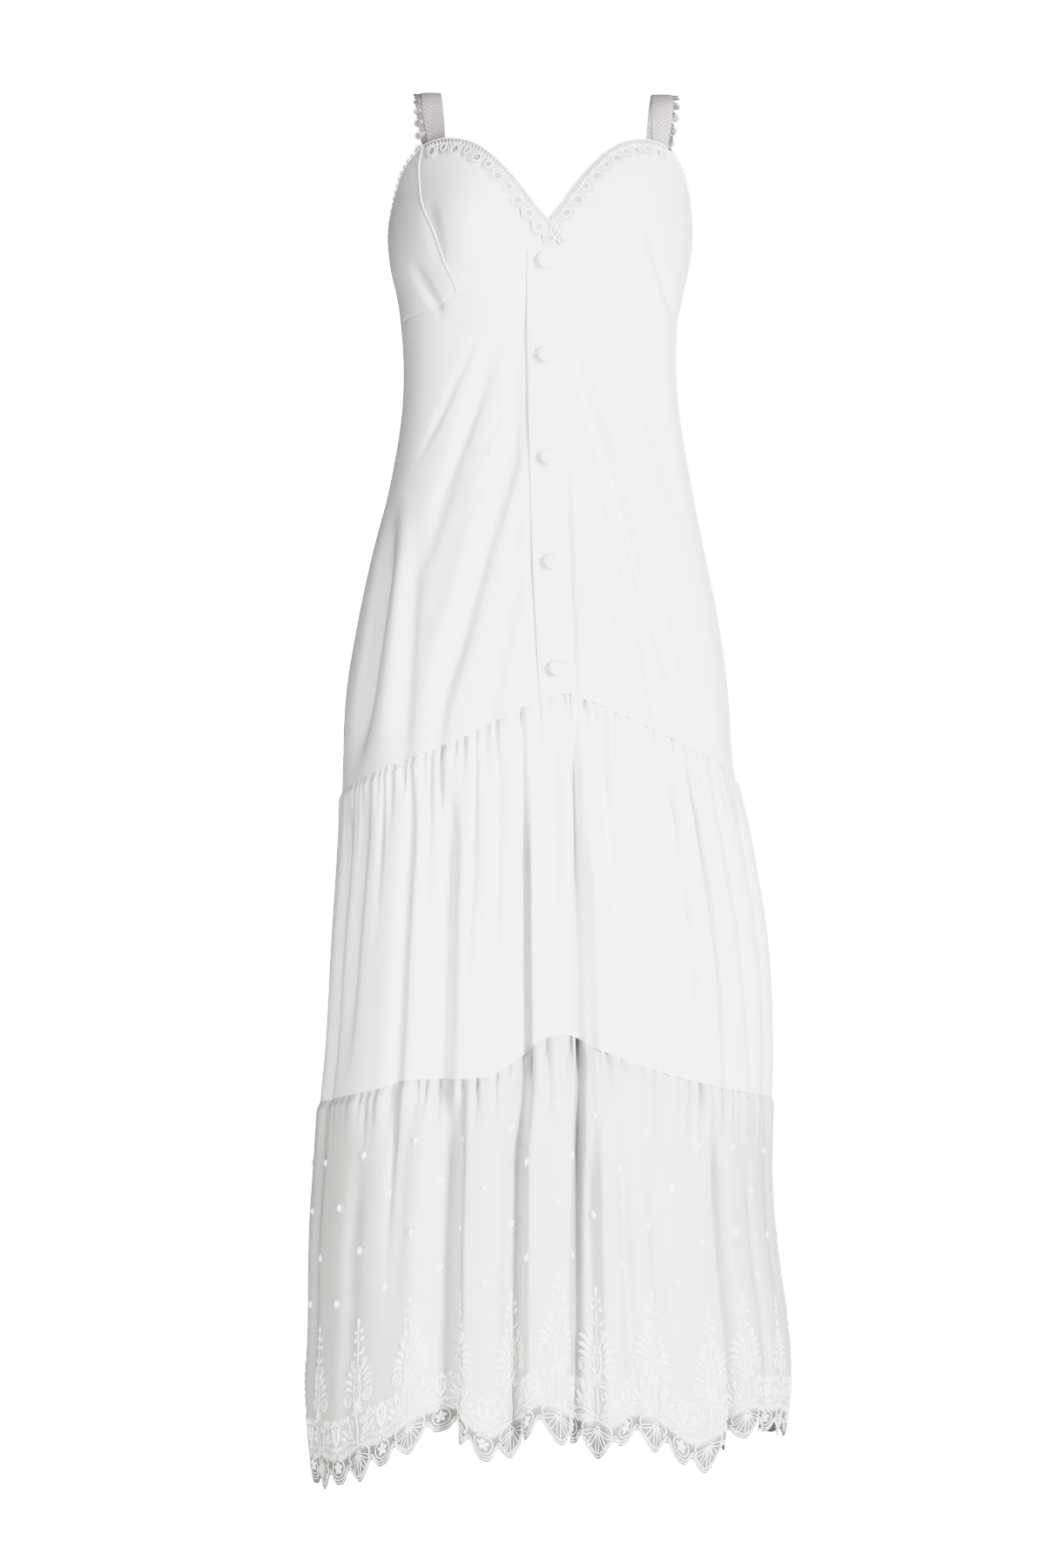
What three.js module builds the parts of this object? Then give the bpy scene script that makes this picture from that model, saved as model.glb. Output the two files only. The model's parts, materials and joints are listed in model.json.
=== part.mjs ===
// A sleeveless white maxi dress, hollow as it is when worn.
// A sweetheart bodice of four cup panels and a back hangs from two shoulder straps. Two skirt fronts
// and a skirt back run from the seam under the bust to the hips, closed by a button band. Two gathered
// tiers follow, the lower one with a scalloped hem. Lace trims the neckline, the straps and the armholes.
// Millimetres, +Z up, front towards -Y, the wearer's left towards +X.
// The origin lies between the two straps, level with their tops, over the point of the neckline.
import * as THREE from 'three';

// Driving dimensions. A drop is measured down from the top of the straps.
const CLOTH = 1.2; // wall of the bodice and skirt panels
const TIER_CLOTH = 1.8; // wall of the gathered tiers, straight in towards the middle
const SEAM_GAP = 0.3; // between pieces that are sewn edge to edge
const LACE = 1.0; // wall of the lace trims
const LACE_LIFT = 1.1; // between a panel and the lace that lies on it
const LACE_OVERLAP = 2.4; // how far the upper neckline lace climbs over the lower one
const STRAP_WIDTH = 21;
const STRAP_CLOTH = 1.5;
const STRAP_TUCK = 12; // length of strap behind the top edge of a panel
const STRAP_SAG = 0.9; // how much further in a flat strap lies behind a rounded panel
// Where each strap is sewn on, in degrees, and where it tops the shoulder.
// The dress hangs a little to its left.
const STRAPS = {
  right: { side: -1, frontTurn: 50.5, backTurn: 137, topX: -112 },
  left: { side: 1, frontTurn: 54.5, backTurn: 135, topX: 121 },
};
// The way of a strap over the shoulder: how far in from its top, how far back, and how far down
const STRAP_SHOULDER = [
  { inward: 1, back: -31, drop: 17 },
  { inward: 0, back: -9, drop: 2.25 },
  { inward: 0, back: 11, drop: 2.25 },
  { inward: 1, back: 36, drop: 21 },
  { inward: 4, back: 58, drop: 74 },
];
const STRAP_LEAVES = 1; // below the edge that a strap is sewn to, where its free part starts
const STRAP_COLUMNS = 2;
const STRAP_ROWS = 22;
const BAND_WIDTH = 36; // button band
const BAND_TOP = 168.5;
const BAND_FOOT = 609; // the crest of the seam that it ends on
const BAND_LIFT = 0.9;
const BAND_COLUMNS = 6;
const BAND_ROWS = 22;
// A covered button: a short shank, then a domed cap
const BUTTON_SIDES = 12;
const BUTTON_PROFILE = [
  { radius: 0, height: 0 },
  { radius: 3, height: 0 },
  { radius: 3, height: 1.5 },
  { radius: 8.5, height: 2 },
  { radius: 9, height: 3.6 },
  { radius: 6.8, height: 5.6 },
  { radius: 0, height: 6.6 },
];
const CUP_APEX = { x: 80, drop: 136, height: 24, spreadX: 36, spreadDrop: 44 };
// The neckline lace: a plain band, then big and small rings by turns. It runs from under the strap to a
// little past the point of the neckline. Ring sizes are radii; turns are in degrees.
const NECK_LACE = {
  pitch: 32,
  band: 7.5,
  bigRing: { radius: 7.6, hole: 3.6, sides: 8 },
  smallRing: { radius: 5.6, hole: 2.3, sides: 6 },
  outerTurn: 57,
  crossing: 7.5,
  trimmed: 1,
  lineSteps: 60,
};
const RING_SHARES = { scallop: 0.7, hole: 0.55, notch: 0.9 }; // of a radius, below the plain band
const SCALLOP_ARC = { corners: 4, start: 215, sweep: 147 };
// How far the edge and the last scallop of the neckline lace run past the point, on each side
const LACE_ENDS = { right: { edge: 31, scallop: 15 }, left: { edge: 4, scallop: 13 } };
const LACE_CLIMB = { from: 34, to: 20 }; // before the point, where the upper lace climbs over
// The narrow lace of the straps and armholes: notch and shoulders are shares of a scallop
const EDGE_LACE = {
  pitch: 13.5,
  strapReach: 6.5,
  armholeReach: 5,
  stand: 0.6,
  notch: 0.45,
  shoulder: 0.25,
};
const STRAP_LACE_ENDS = { front: 5, back: 6 }; // beyond the tucked lengths of strap
const ARMHOLE_LACE = { firstTurn: 60, lastTurn: 89.5, trimmed: 1, lineSteps: 40 };
const HEM_REPEATS = 24; // border motifs round the hem
const GATHERS = { tier1: 96, tier2: 88 }; // across half of each tier

// Half widths and half depths of the dress at each drop
const SECTIONS = [
  { drop: 30, right: 134, left: 138, front: 80, back: 86 },
  { drop: 60, right: 143, left: 145, front: 89, back: 91 },
  { drop: 86, right: 151, left: 150, front: 97, back: 95 },
  { drop: 112, right: 154, left: 152, front: 102, back: 98 },
  { drop: 145, right: 156, left: 153, front: 105, back: 100 },
  { drop: 178, right: 153, left: 149, front: 104, back: 99 },
  { drop: 204, right: 147, left: 143, front: 100, back: 95 },
  { drop: 231, right: 143, left: 138, front: 96, back: 90 },
  { drop: 275, right: 140, left: 136, front: 92, back: 85 },
  { drop: 327, right: 142, left: 140, front: 92, back: 88 },
  { drop: 398, right: 154, left: 152, front: 101, back: 106 },
  { drop: 468, right: 172, left: 166, front: 113, back: 124 },
  { drop: 539, right: 187, left: 180, front: 126, back: 138 },
  { drop: 609, right: 198, left: 189, front: 137, back: 148 },
  { drop: 680, right: 201, left: 194, front: 146, back: 156 },
  { drop: 750, right: 203, left: 209, front: 156, back: 164 },
  { drop: 855, right: 210, left: 226, front: 169, back: 176 },
  { drop: 961, right: 216, left: 231, front: 180, back: 187 },
  { drop: 1031, right: 223, left: 229, front: 187, back: 193 },
  { drop: 1137, right: 232, left: 233, front: 195, back: 202 },
  { drop: 1243, right: 234, left: 246, front: 201, back: 209 },
  { drop: 1313, right: 236, left: 248, front: 204, back: 212 },
  { drop: 1410, right: 228, left: 233, front: 204, back: 210 },
];

// Edges and seams: the drop at each turn. A turn is in degrees from the centre front, positive to the
// wearer's left. The bodice is cut alike on both sides, so its tables start at the centre front.
const TOP_EDGE = [
  { turn: 0, drop: 140 },
  { turn: 4.3, drop: 127 },
  { turn: 7.8, drop: 114 },
  { turn: 11.9, drop: 100 },
  { turn: 16.6, drop: 87 },
  { turn: 22.5, drop: 73.5 },
  { turn: 31, drop: 61.5 },
  { turn: 42, drop: 56 },
  { turn: 51, drop: 57 },
  { turn: 58.5, drop: 62 },
  { turn: 65, drop: 73 },
  { turn: 70, drop: 86 },
  { turn: 77, drop: 112 },
  { turn: 84, drop: 138 },
  { turn: 90, drop: 157 },
  { turn: 105, drop: 163 },
  { turn: 137, drop: 165 },
  { turn: 180, drop: 167 },
];
const UNDERBUST_SEAM = [
  { turn: 0, drop: 167 },
  { turn: 8, drop: 174 },
  { turn: 18, drop: 188 },
  { turn: 37, drop: 212 },
  { turn: 50, drop: 224 },
  { turn: 75, drop: 232 },
  { turn: 90, drop: 234 },
  { turn: 180, drop: 236 },
];
const TIER_1_SEAM = [
  { turn: -180, drop: 690 },
  { turn: -135, drop: 695 },
  { turn: -90, drop: 704 },
  { turn: -60, drop: 687 },
  { turn: -42, drop: 671 },
  { turn: -23, drop: 649 },
  { turn: -9, drop: 624 },
  { turn: 4, drop: BAND_FOOT },
  { turn: 12, drop: 615 },
  { turn: 30, drop: 639 },
  { turn: 54, drop: 668 },
  { turn: 90, drop: 694 },
  { turn: 135, drop: 694 },
  { turn: 180, drop: 690 },
];
const TIER_2_SEAM = [
  { turn: -180, drop: 1006 },
  { turn: -135, drop: 1010 },
  { turn: -90, drop: 1016 },
  { turn: -52, drop: 998 },
  { turn: -41, drop: 986 },
  { turn: -16, drop: 979 },
  { turn: -10, drop: 966 },
  { turn: -3, drop: 945 },
  { turn: 4, drop: 939 },
  { turn: 12, drop: 954 },
  { turn: 26, drop: 975 },
  { turn: 54, drop: 999 },
  { turn: 90, drop: 1012 },
  { turn: 135, drop: 1010 },
  { turn: 180, drop: 1006 },
];
const HEM_TIPS = [
  { turn: -180, drop: 1370 },
  { turn: -150, drop: 1372 },
  { turn: -120, drop: 1384 },
  { turn: -90, drop: 1398 },
  { turn: -62, drop: 1392 },
  { turn: -48, drop: 1372 },
  { turn: -38, drop: 1352 },
  { turn: -29, drop: 1328 },
  { turn: -22, drop: 1336 },
  { turn: -15, drop: 1353 },
  { turn: -9, drop: 1343 },
  { turn: -4, drop: 1323 },
  { turn: 0, drop: 1327 },
  { turn: 6, drop: 1341 },
  { turn: 13, drop: 1347 },
  { turn: 18, drop: 1334 },
  { turn: 27, drop: 1349 },
  { turn: 36, drop: 1369 },
  { turn: 44, drop: 1355 },
  { turn: 51, drop: 1339 },
  { turn: 62, drop: 1342 },
  { turn: 75, drop: 1350 },
  { turn: 90, drop: 1358 },
  { turn: 112, drop: 1364 },
  { turn: 145, drop: 1370 },
  { turn: 180, drop: 1370 },
];

// The seam over each cup: its turn at each share of the way from the strap to the seam under the bust
const CUP_SEAM = [
  { share: 0, turn: 57.5 },
  { share: 0.15, turn: 56 },
  { share: 0.35, turn: 53 },
  { share: 0.57, turn: 46.5 },
  { share: 0.79, turn: 41 },
  { share: 1, turn: 36.8 },
];

// The middle of the button band, which leans as the dress hangs, and the buttons on it
const BAND_LINE = [
  { drop: 160, x: -2 },
  { drop: 290, x: 0 },
  { drop: 400, x: 2 },
  { drop: 500, x: 4.5 },
  { drop: 620, x: 10 },
];
const BUTTON_DROPS = [182, 274, 377, 481, 586];

// Soft folds dragged across the skirt, each from one place to another
const SKIRT_FOLDS = [
  { face: 'front', fromX: -20, fromDrop: 336, toX: -88, toDrop: 590, depth: 7, width: 12 },
  { face: 'front', fromX: -124, fromDrop: 432, toX: -134, toDrop: 660, depth: 7, width: 12 },
  { face: 'front', fromX: 30, fromDrop: 250, toX: 118, toDrop: 590, depth: 5, width: 11 },
  { face: 'front', fromX: 24, fromDrop: 430, toX: 44, toDrop: 612, depth: 8, width: 9 },
  { face: 'back', fromX: -50, fromDrop: 320, toX: -86, toDrop: 680, depth: 6, width: 14 },
  { face: 'back', fromX: 42, fromDrop: 300, toX: 74, toDrop: 680, depth: 6, width: 14 },
  { face: 'back', fromX: 118, fromDrop: 430, toX: 132, toDrop: 660, depth: 6, width: 13 },
];

// The valleys between the hanging folds of the tiers, in degrees but for the depth
const TIER_1_VALLEYS = [
  { turn: -72, depth: 8, width: 4.5 },
  { turn: -60, depth: 7, width: 4 },
  { turn: -50, depth: 6, width: 3.6 },
  { turn: -39, depth: 10, width: 4 },
  { turn: -27, depth: 15, width: 4.2 },
  { turn: -17, depth: 5, width: 3 },
  { turn: -6.4, depth: 20, width: 4 },
  { turn: 7.8, depth: 21, width: 4 },
  { turn: 18, depth: 7, width: 3 },
  { turn: 25, depth: 6, width: 3 },
  { turn: 34, depth: 8, width: 3 },
  { turn: 44, depth: 8, width: 3.2 },
  { turn: 57, depth: 7, width: 4 },
  { turn: 72, depth: 9, width: 4.5 },
];
const TIER_2_VALLEYS = [
  { turn: -74, depth: 9, width: 4.5 },
  { turn: -54, depth: 10, width: 4.5 },
  { turn: -40, depth: 6, width: 3.6 },
  { turn: -24, depth: 19, width: 5.5 },
  { turn: -7.7, depth: 23, width: 4.2 },
  { turn: 6.7, depth: 23, width: 4.4 },
  { turn: 15.5, depth: 6, width: 3 },
  { turn: 22.5, depth: 9, width: 3.4 },
  { turn: 41, depth: 13, width: 4 },
  { turn: 54, depth: 8, width: 3.8 },
  { turn: 70, depth: 9, width: 4.5 },
];
const BACK_VALLEYS = { first: 90, last: 270, count: 14, depth: 11, width: 4.6 };

// The outline of one border motif along the hem: half a fan scallop, a flower scallop and the other half,
// and how high each point lies
const HEM_SCALLOP = [
  { share: 0.05, rise: 1.5 },
  { share: 0.16, rise: 8 },
  { share: 0.27, rise: 17 },
  { share: 0.38, rise: 10 },
  { share: 0.5, rise: 5 },
  { share: 0.62, rise: 10 },
  { share: 0.73, rise: 17 },
  { share: 0.84, rise: 8 },
  { share: 0.95, rise: 1.5 },
];

// The rise and spread of the gathers below a seam: how strong they are at each share of the tier's height
const GATHER_ROWS = [
  { share: 0, strength: 0.55 },
  { share: 0.04, strength: 1 },
  { share: 0.13, strength: 0.6 },
];
const GATHER_RISE = 2.3;
const GATHER_WANDER = 0.3; // sideways, as a share of a gather
const GATHER_UNEVEN = 0.35; // of the rise
const OWN_FOLDS_BY = 0.45; // share of a tier's height where its own folds have taken over
const TIER_1_PLAIN_ROWS = [0.32, 0.62, 1];
const TIER_2_PLAIN_ROWS = [0.34, 0.66, 0.9];
const PLAIN_COLUMNS = 60; // across half of a tier
const SIDE_SEAM = 90; // turn of the side seams
const CUP_ROWS = [0, 0.12, 0.26, 0.4, 0.55, 0.7, 0.85, 1];
const SKIRT_ROWS = [0, 0.07, 0.15, 0.24, 0.34, 0.45, 0.58, 0.72, 0.87, 1];
const BODICE_BACK_ROWS = [0, 0.33, 0.67, 1];
const PANEL_COLUMNS = {
  cupFront: 16,
  cupSide: 9,
  bodiceBack: 24,
  skirtFront: 22,
  skirtFoot: 44,
  skirtBack: 28,
};

const DEGREE = Math.PI / 180;
const mix = (a, b, share) => a + (b - a) * share;
const steps = (count) => Array.from({ length: count + 1 }, (_, i) => i / count);

function ramp(from, to, value) {
  const share = Math.min(Math.max((value - from) / (to - from), 0), 1);
  return share * share * (3 - 2 * share);
}

const bell = (value) => Math.exp(-value * value);

// A smooth curve through the rows of a table, one column over another
function curveThrough(table, across, up) {
  const xs = table.map((row) => row[across]);
  const ys = table.map((row) => row[up]);
  const last = xs.length - 1;
  const slopeAt = (i) => {
    const before = Math.max(i - 1, 0);
    const after = Math.min(i + 1, last);
    return (ys[after] - ys[before]) / (xs[after] - xs[before]);
  };
  return (value) => {
    let i = 0;
    while (i < last - 1 && value > xs[i + 1]) i += 1;
    const span = xs[i + 1] - xs[i];
    const t = Math.min(Math.max((value - xs[i]) / span, 0), 1);
    const rising = slopeAt(i) * span * t * (1 - t) * (1 - t);
    const arriving = slopeAt(i + 1) * span * t * t * (t - 1);
    return mix(ys[i], ys[i + 1], t * t * (3 - 2 * t)) + rising + arriving;
  };
}

const rightAt = curveThrough(SECTIONS, 'drop', 'right');
const leftAt = curveThrough(SECTIONS, 'drop', 'left');
const frontAt = curveThrough(SECTIONS, 'drop', 'front');
const backAt = curveThrough(SECTIONS, 'drop', 'back');
const bandX = curveThrough(BAND_LINE, 'drop', 'x');
const cupSeamTurn = curveThrough(CUP_SEAM, 'share', 'turn');
const topEdgeCurve = curveThrough(TOP_EDGE, 'turn', 'drop');
const underbustCurve = curveThrough(UNDERBUST_SEAM, 'turn', 'drop');
const tier1SeamCurve = curveThrough(TIER_1_SEAM, 'turn', 'drop');
const tier2SeamCurve = curveThrough(TIER_2_SEAM, 'turn', 'drop');
const hemTipCurve = curveThrough(HEM_TIPS, 'turn', 'drop');

const wrapped = (turn) => ((((turn + 180) % 360) + 360) % 360) - 180;
const halfWidth = (turn, drop) => (wrapped(turn) < 0 ? rightAt(drop) : leftAt(drop));
const topEdge = (turn) => topEdgeCurve(Math.abs(wrapped(turn)));
const underbust = (turn) => underbustCurve(Math.abs(wrapped(turn)));
const tier1Seam = (turn) => tier1SeamCurve(wrapped(turn));
const tier2Seam = (turn) => tier2SeamCurve(wrapped(turn));
const hemTip = (turn) => hemTipCurve(wrapped(turn));
const turnAtX = (x, drop) => Math.asin(x / halfWidth(x, drop)) / DEGREE;

// The plain section of the dress: a point, and the way straight out from it
function section(turn, drop) {
  const angle = turn * DEGREE;
  const facesFront = Math.cos(angle) > 0;
  const wide = halfWidth(turn, drop);
  const deep = facesFront ? frontAt(drop) : backAt(drop);
  const point = new THREE.Vector3(wide * Math.sin(angle), -deep * Math.cos(angle), -drop);
  const out = new THREE.Vector3(deep * Math.sin(angle), -wide * Math.cos(angle), 0).normalize();
  return { point, out, facesFront };
}

// How far the two cups stand out in front of the section
function cupHeight(x, drop) {
  const down = (drop - CUP_APEX.drop) / CUP_APEX.spreadDrop;
  const across = (Math.abs(x) - CUP_APEX.x) / CUP_APEX.spreadX;
  return CUP_APEX.height * bell(Math.hypot(across, down) / Math.SQRT2);
}

// How far the dragged folds of the skirt sink in
function skirtFoldDepth(x, drop, facesFront) {
  return SKIRT_FOLDS.filter((fold) => (fold.face === 'front') === facesFront).reduce((sum, fold) => {
    const along = (drop - fold.fromDrop) / (fold.toDrop - fold.fromDrop);
    const strength = ramp(-0.1, 0.4, along) * (1 - ramp(0.9, 1.3, along));
    return sum + fold.depth * strength * bell((x - mix(fold.fromX, fold.toX, along)) / fold.width);
  }, 0);
}

// The outer face of the bodice and the skirt, with the dragged folds or smooth
function bodyPoint(turn, drop, folded = true) {
  const { point, out, facesFront } = section(turn, drop);
  const sunk = folded ? skirtFoldDepth(point.x, drop, facesFront) : 0;
  if (facesFront) point.y -= cupHeight(point.x, drop);
  return point.addScaledVector(out, -sunk);
}

// The outer face's tangents and its way out, at a turn and a drop
function bodyFrame(turn, drop, folded = true) {
  const [left, right] = [0.2, -0.2].map((step) => bodyPoint(turn + step, drop, folded));
  const [lower, upper] = [0.5, -0.5].map((step) => bodyPoint(turn, drop + step, folded));
  const across = left.sub(right).divideScalar(0.4);
  const down = lower.sub(upper);
  const out = new THREE.Vector3().crossVectors(down, across).normalize();
  return { point: bodyPoint(turn, drop, folded), across, down, out };
}

// A point that lies outside the outer face by a distance, or inside it where the distance is negative
function movedOut(turn, drop, distance, folded = true) {
  const { point, out } = bodyFrame(turn, drop, folded);
  return point.addScaledVector(out, distance);
}

// The valleys of a tier, with a row of uneven ones across the back
function withBackValleys(valleys, seed) {
  const { first, last, count, depth, width } = BACK_VALLEYS;
  const back = Array.from({ length: count }, (_, i) => ({
    turn: mix(first, last, (i + 0.5) / count) + 3 * Math.sin(2.4 * i + seed),
    depth: depth * (1 + 0.4 * Math.sin(1.9 * i + 2 * seed)),
    width: width * (1 + 0.2 * Math.sin(3.1 * i + seed)),
  }));
  return [...valleys, ...back.map((row) => ({ ...row, turn: wrapped(row.turn) }))];
}

const tier1Valleys = withBackValleys(TIER_1_VALLEYS, 0.4);
const tier2Valleys = withBackValleys(TIER_2_VALLEYS, 1.7);

function valleyDepth(valleys, turn) {
  return valleys.reduce((sum, row) => sum + row.depth * bell(wrapped(turn - row.turn) / row.width), 0);
}

// A point of a tier's outer face. The folds of what it hangs from turn into its own a little way down.
function tierPoint(tier, turn, share, rise, inset = 0) {
  const drop = mix(tier.top(turn), tier.bottom(turn), share);
  const { point, out } = section(turn, drop);
  const own = ramp(0, OWN_FOLDS_BY, share);
  const sunk = mix(tier.hangingDepth(turn), valleyDepth(tier.valleys, turn), own);
  return point.addScaledVector(out, rise - sunk - inset);
}

const tier1 = {
  top: tier1Seam,
  bottom: tier2Seam,
  valleys: tier1Valleys,
  height: 325,
  edgeRadius: 210,
  hangingDepth: (turn) => {
    const { point, facesFront } = section(turn, tier1Seam(turn));
    return skirtFoldDepth(point.x, tier1Seam(turn), facesFront);
  },
};
const tier2 = {
  top: tier2Seam,
  bottom: hemTip,
  valleys: tier2Valleys,
  height: 392,
  edgeRadius: 235,
  hangingDepth: (turn) => valleyDepth(tier1Valleys, turn),
};

// Joins two rows of points into triangles, whatever their numbers of columns
function joinRows(faces, upper, lower, flipped) {
  let i = 0;
  let j = 0;
  while (i < upper.length - 1 || j < lower.length - 1) {
    const upperNext = i < upper.length - 1 ? upper[i + 1].share : Infinity;
    const lowerNext = j < lower.length - 1 ? lower[j + 1].share : Infinity;
    const third = upperNext <= lowerNext ? upper[i + 1].index : lower[j + 1].index;
    const face = [upper[i].index, lower[j].index, third];
    faces.push(...(flipped ? face.reverse() : face));
    if (upperNext <= lowerNext) i += 1;
    else j += 1;
  }
}

// A cloth wall from rows of columns, top row first and from the wearer's right to left,
// each column with its share of the way across and its points on the outer and the inner face
function wall(rows) {
  const positions = [];
  const faces = [];
  const indexed = (point) => positions.push(point.x, point.y, point.z) / 3 - 1;
  const outer = rows.map((row) => row.map(({ share, out }) => ({ share, index: indexed(out) })));
  const inner = rows.map((row) => row.map(({ share, inside }) => ({ share, index: indexed(inside) })));
  const quad = (a, b, c, d) => faces.push(a, b, c, a, c, d);
  for (let r = 0; r < rows.length - 1; r += 1) {
    joinRows(faces, outer[r], outer[r + 1], false);
    joinRows(faces, inner[r], inner[r + 1], true);
    const [o, n] = [outer, inner].map((side) => [side[r], side[r + 1]]);
    quad(o[1][0].index, o[0][0].index, n[0][0].index, n[1][0].index);
    quad(o[0].at(-1).index, o[1].at(-1).index, n[1].at(-1).index, n[0].at(-1).index);
  }
  const rim = (o, n, flipped) => {
    for (let c = 0; c < o.length - 1; c += 1) {
      const corners = [o[c].index, o[c + 1].index, n[c + 1].index, n[c].index];
      quad(...(flipped ? corners.reverse() : corners));
    }
  };
  rim(outer[0], inner[0], false);
  rim(outer.at(-1), inner.at(-1), true);
  return solidOf(positions, faces);
}

function solidOf(positions, faces) {
  const geometry = new THREE.BufferGeometry();
  geometry.setAttribute('position', new THREE.Float32BufferAttribute(positions, 3));
  geometry.setIndex(faces);
  geometry.computeVertexNormals();
  return geometry;
}

// A panel of the bodice or the skirt, between two side edges (turns over the share down) and a top and a
// bottom edge (drops over the turn). Its edges stand back by half the gap at a seam. Its foot may have
// more columns.
function bodyPanel({ from, to, top, bottom, columns, footColumns = columns, downShares }) {
  const half = SEAM_GAP / 2;
  const rows = downShares.map((down) => {
    const middle = (from(down) + to(down)) / 2;
    const middleDrop = mix(top(middle), bottom(middle), down);
    const back = half / (DEGREE * frontAt(middleDrop));
    return steps(down < 1 ? columns : footColumns).map((share) => {
      const turn = mix(from(down) + back, to(down) - back, share);
      const drop = mix(top(turn) + half, bottom(turn) - half, down);
      return { share, out: bodyPoint(turn, drop), inside: movedOut(turn, drop, -CLOTH) };
    });
  });
  return wall(rows);
}

// A tier's front or back: gathered rows under the seam, plain rows below, and a scalloped hem on one
function tierPanel({ tier, fromTurn, gathers, plainRows, hem }) {
  const toTurn = fromTurn + 180;
  const back = SEAM_GAP / 2 / (DEGREE * tier.edgeRadius);
  const gapShare = SEAM_GAP / tier.height; // also keeps slanting seams apart between their columns
  const columnAt = (share, down, rise) => {
    const turn = mix(fromTurn + back, toTurn - back, share);
    const at = Math.min(Math.max(down, gapShare), 1 - gapShare);
    const out = tierPoint(tier, turn, at, rise);
    const inside = tierPoint(tier, turn, at, rise, TIER_CLOTH);
    return { share, out, inside };
  };
  const gatheredRow = ({ share: down, strength }) =>
    Array.from({ length: gathers + 1 }, (_, k) => {
      const inside = k > 0 && k < gathers;
      const wander = inside ? GATHER_WANDER * Math.sin(2.3 * k) * Math.sin(0.7 * k) : 0;
      const height = GATHER_RISE * (1 + GATHER_UNEVEN * Math.sin(1.7 * k + fromTurn));
      const rise = k % 2 ? height : -height;
      return columnAt((k + wander) / gathers, down, rise * strength);
    });
  const rows = GATHER_ROWS.map(gatheredRow);
  plainRows.forEach((down) => rows.push(steps(PLAIN_COLUMNS).map((share) => columnAt(share, down, 0))));
  if (hem) rows.push(hem(columnAt));
  return wall(rows);
}

// The scalloped edge of the lower tier: the outline of one border motif, repeated across half of the hem
function hemRow(columnAt) {
  const repeats = HEM_REPEATS / 2;
  const tip = { rise: HEM_SCALLOP[0].rise };
  const row = [{ share: 0, ...tip }];
  for (let k = 0; k < repeats; k += 1) {
    HEM_SCALLOP.forEach(({ share, rise }) => row.push({ share: (k + share) / repeats, rise }));
  }
  row.push({ share: 1, ...tip });
  return row.map(({ share, rise }) => columnAt(share, 1 - rise / tier2.height, 0));
}

// A flat trim laid on a surface: place(along, aside, lift) gives each point. It is made of cells side by
// side, each an outline with its holes that runs anticlockwise as seen from outside, unless mirrored.
function trim({ cells, place, lift, mirrored }) {
  const points = [];
  const known = new Map();
  const indexOf = ({ x, y }) => {
    const key = `${x.toFixed(3)} ${y.toFixed(3)}`;
    if (!known.has(key)) known.set(key, points.push({ x, y }) - 1);
    return known.get(key);
  };
  const tops = cells.flatMap(({ outline, holes }) => {
    const corners = [outline, ...holes].flat().map(indexOf);
    return THREE.ShapeUtils.triangulateShape(outline, holes).map((face) => face.map((i) => corners[i]));
  });
  const positions = [lift + LACE, lift].flatMap((height) =>
    points.flatMap(({ x, y }) => place(x, y, height).toArray()),
  );
  const under = points.length;
  const edges = new Set(tops.flatMap(([a, b, c]) => [`${a} ${b}`, `${b} ${c}`, `${c} ${a}`]));
  const ends = [...edges].map((edge) => edge.split(' ').map(Number));
  const rims = ends.filter(([a, b]) => !edges.has(`${b} ${a}`));
  const bottoms = tops.map(([a, b, c]) => [under + a, under + c, under + b]);
  const sides = rims.flatMap(([a, b]) => [
    [under + a, under + b, b],
    [under + a, b, a],
  ]);
  const faces = [...tops, ...bottoms, ...sides].flatMap((face) => (mirrored ? face.reverse() : face));
  return solidOf(positions, faces);
}

const ringPoints = (x, y, radius, sides, start, sweep) =>
  Array.from({ length: sides }, (_, i) => {
    const angle = (start + (sweep * i) / sides) * DEGREE;
    return new THREE.Vector2(x + radius * Math.cos(angle), y + radius * Math.sin(angle));
  });

// A line along the body given by turns and drops, with places on it found by their length from its start
function bodyLine(stops) {
  const points = stops.map(({ turn, drop }) => bodyPoint(turn, drop));
  const lengths = [0];
  points.slice(1).forEach((point, i) => lengths.push(lengths[i] + point.distanceTo(points[i])));
  const placeAt = (length) => {
    let i = 0;
    while (i < lengths.length - 2 && length > lengths[i + 1]) i += 1;
    const share = (length - lengths[i]) / (lengths[i + 1] - lengths[i]);
    return {
      turn: mix(stops[i].turn, stops[i + 1].turn, share),
      drop: mix(stops[i].drop, stops[i + 1].drop, share),
    };
  };
  return { total: lengths.at(-1), placeAt };
}

// A place beside a body line: some way along it, then square to it over the surface, downwards where
// aside is positive
function besideLine(line, along, aside) {
  const walk = 4; // steps
  let { turn, drop } = line.placeAt(along);
  const ahead = line.placeAt(along + 1);
  const behind = line.placeAt(along - 1);
  const heading = bodyPoint(ahead.turn, ahead.drop).sub(bodyPoint(behind.turn, behind.drop));
  for (let i = 0; i < walk; i += 1) {
    const { across, down, out } = bodyFrame(turn, drop);
    const way = new THREE.Vector3().crossVectors(heading, out).normalize();
    if (way.dot(down) < 0) way.negate();
    const [aa, ad, dd] = [across.dot(across), across.dot(down), down.dot(down)];
    const [wa, wd] = [way.dot(across), way.dot(down)];
    const area = aa * dd - ad * ad;
    turn += ((aside / walk) * (wa * dd - wd * ad)) / area;
    drop += ((aside / walk) * (wd * aa - wa * ad)) / area;
  }
  return { turn, drop };
}

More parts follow.
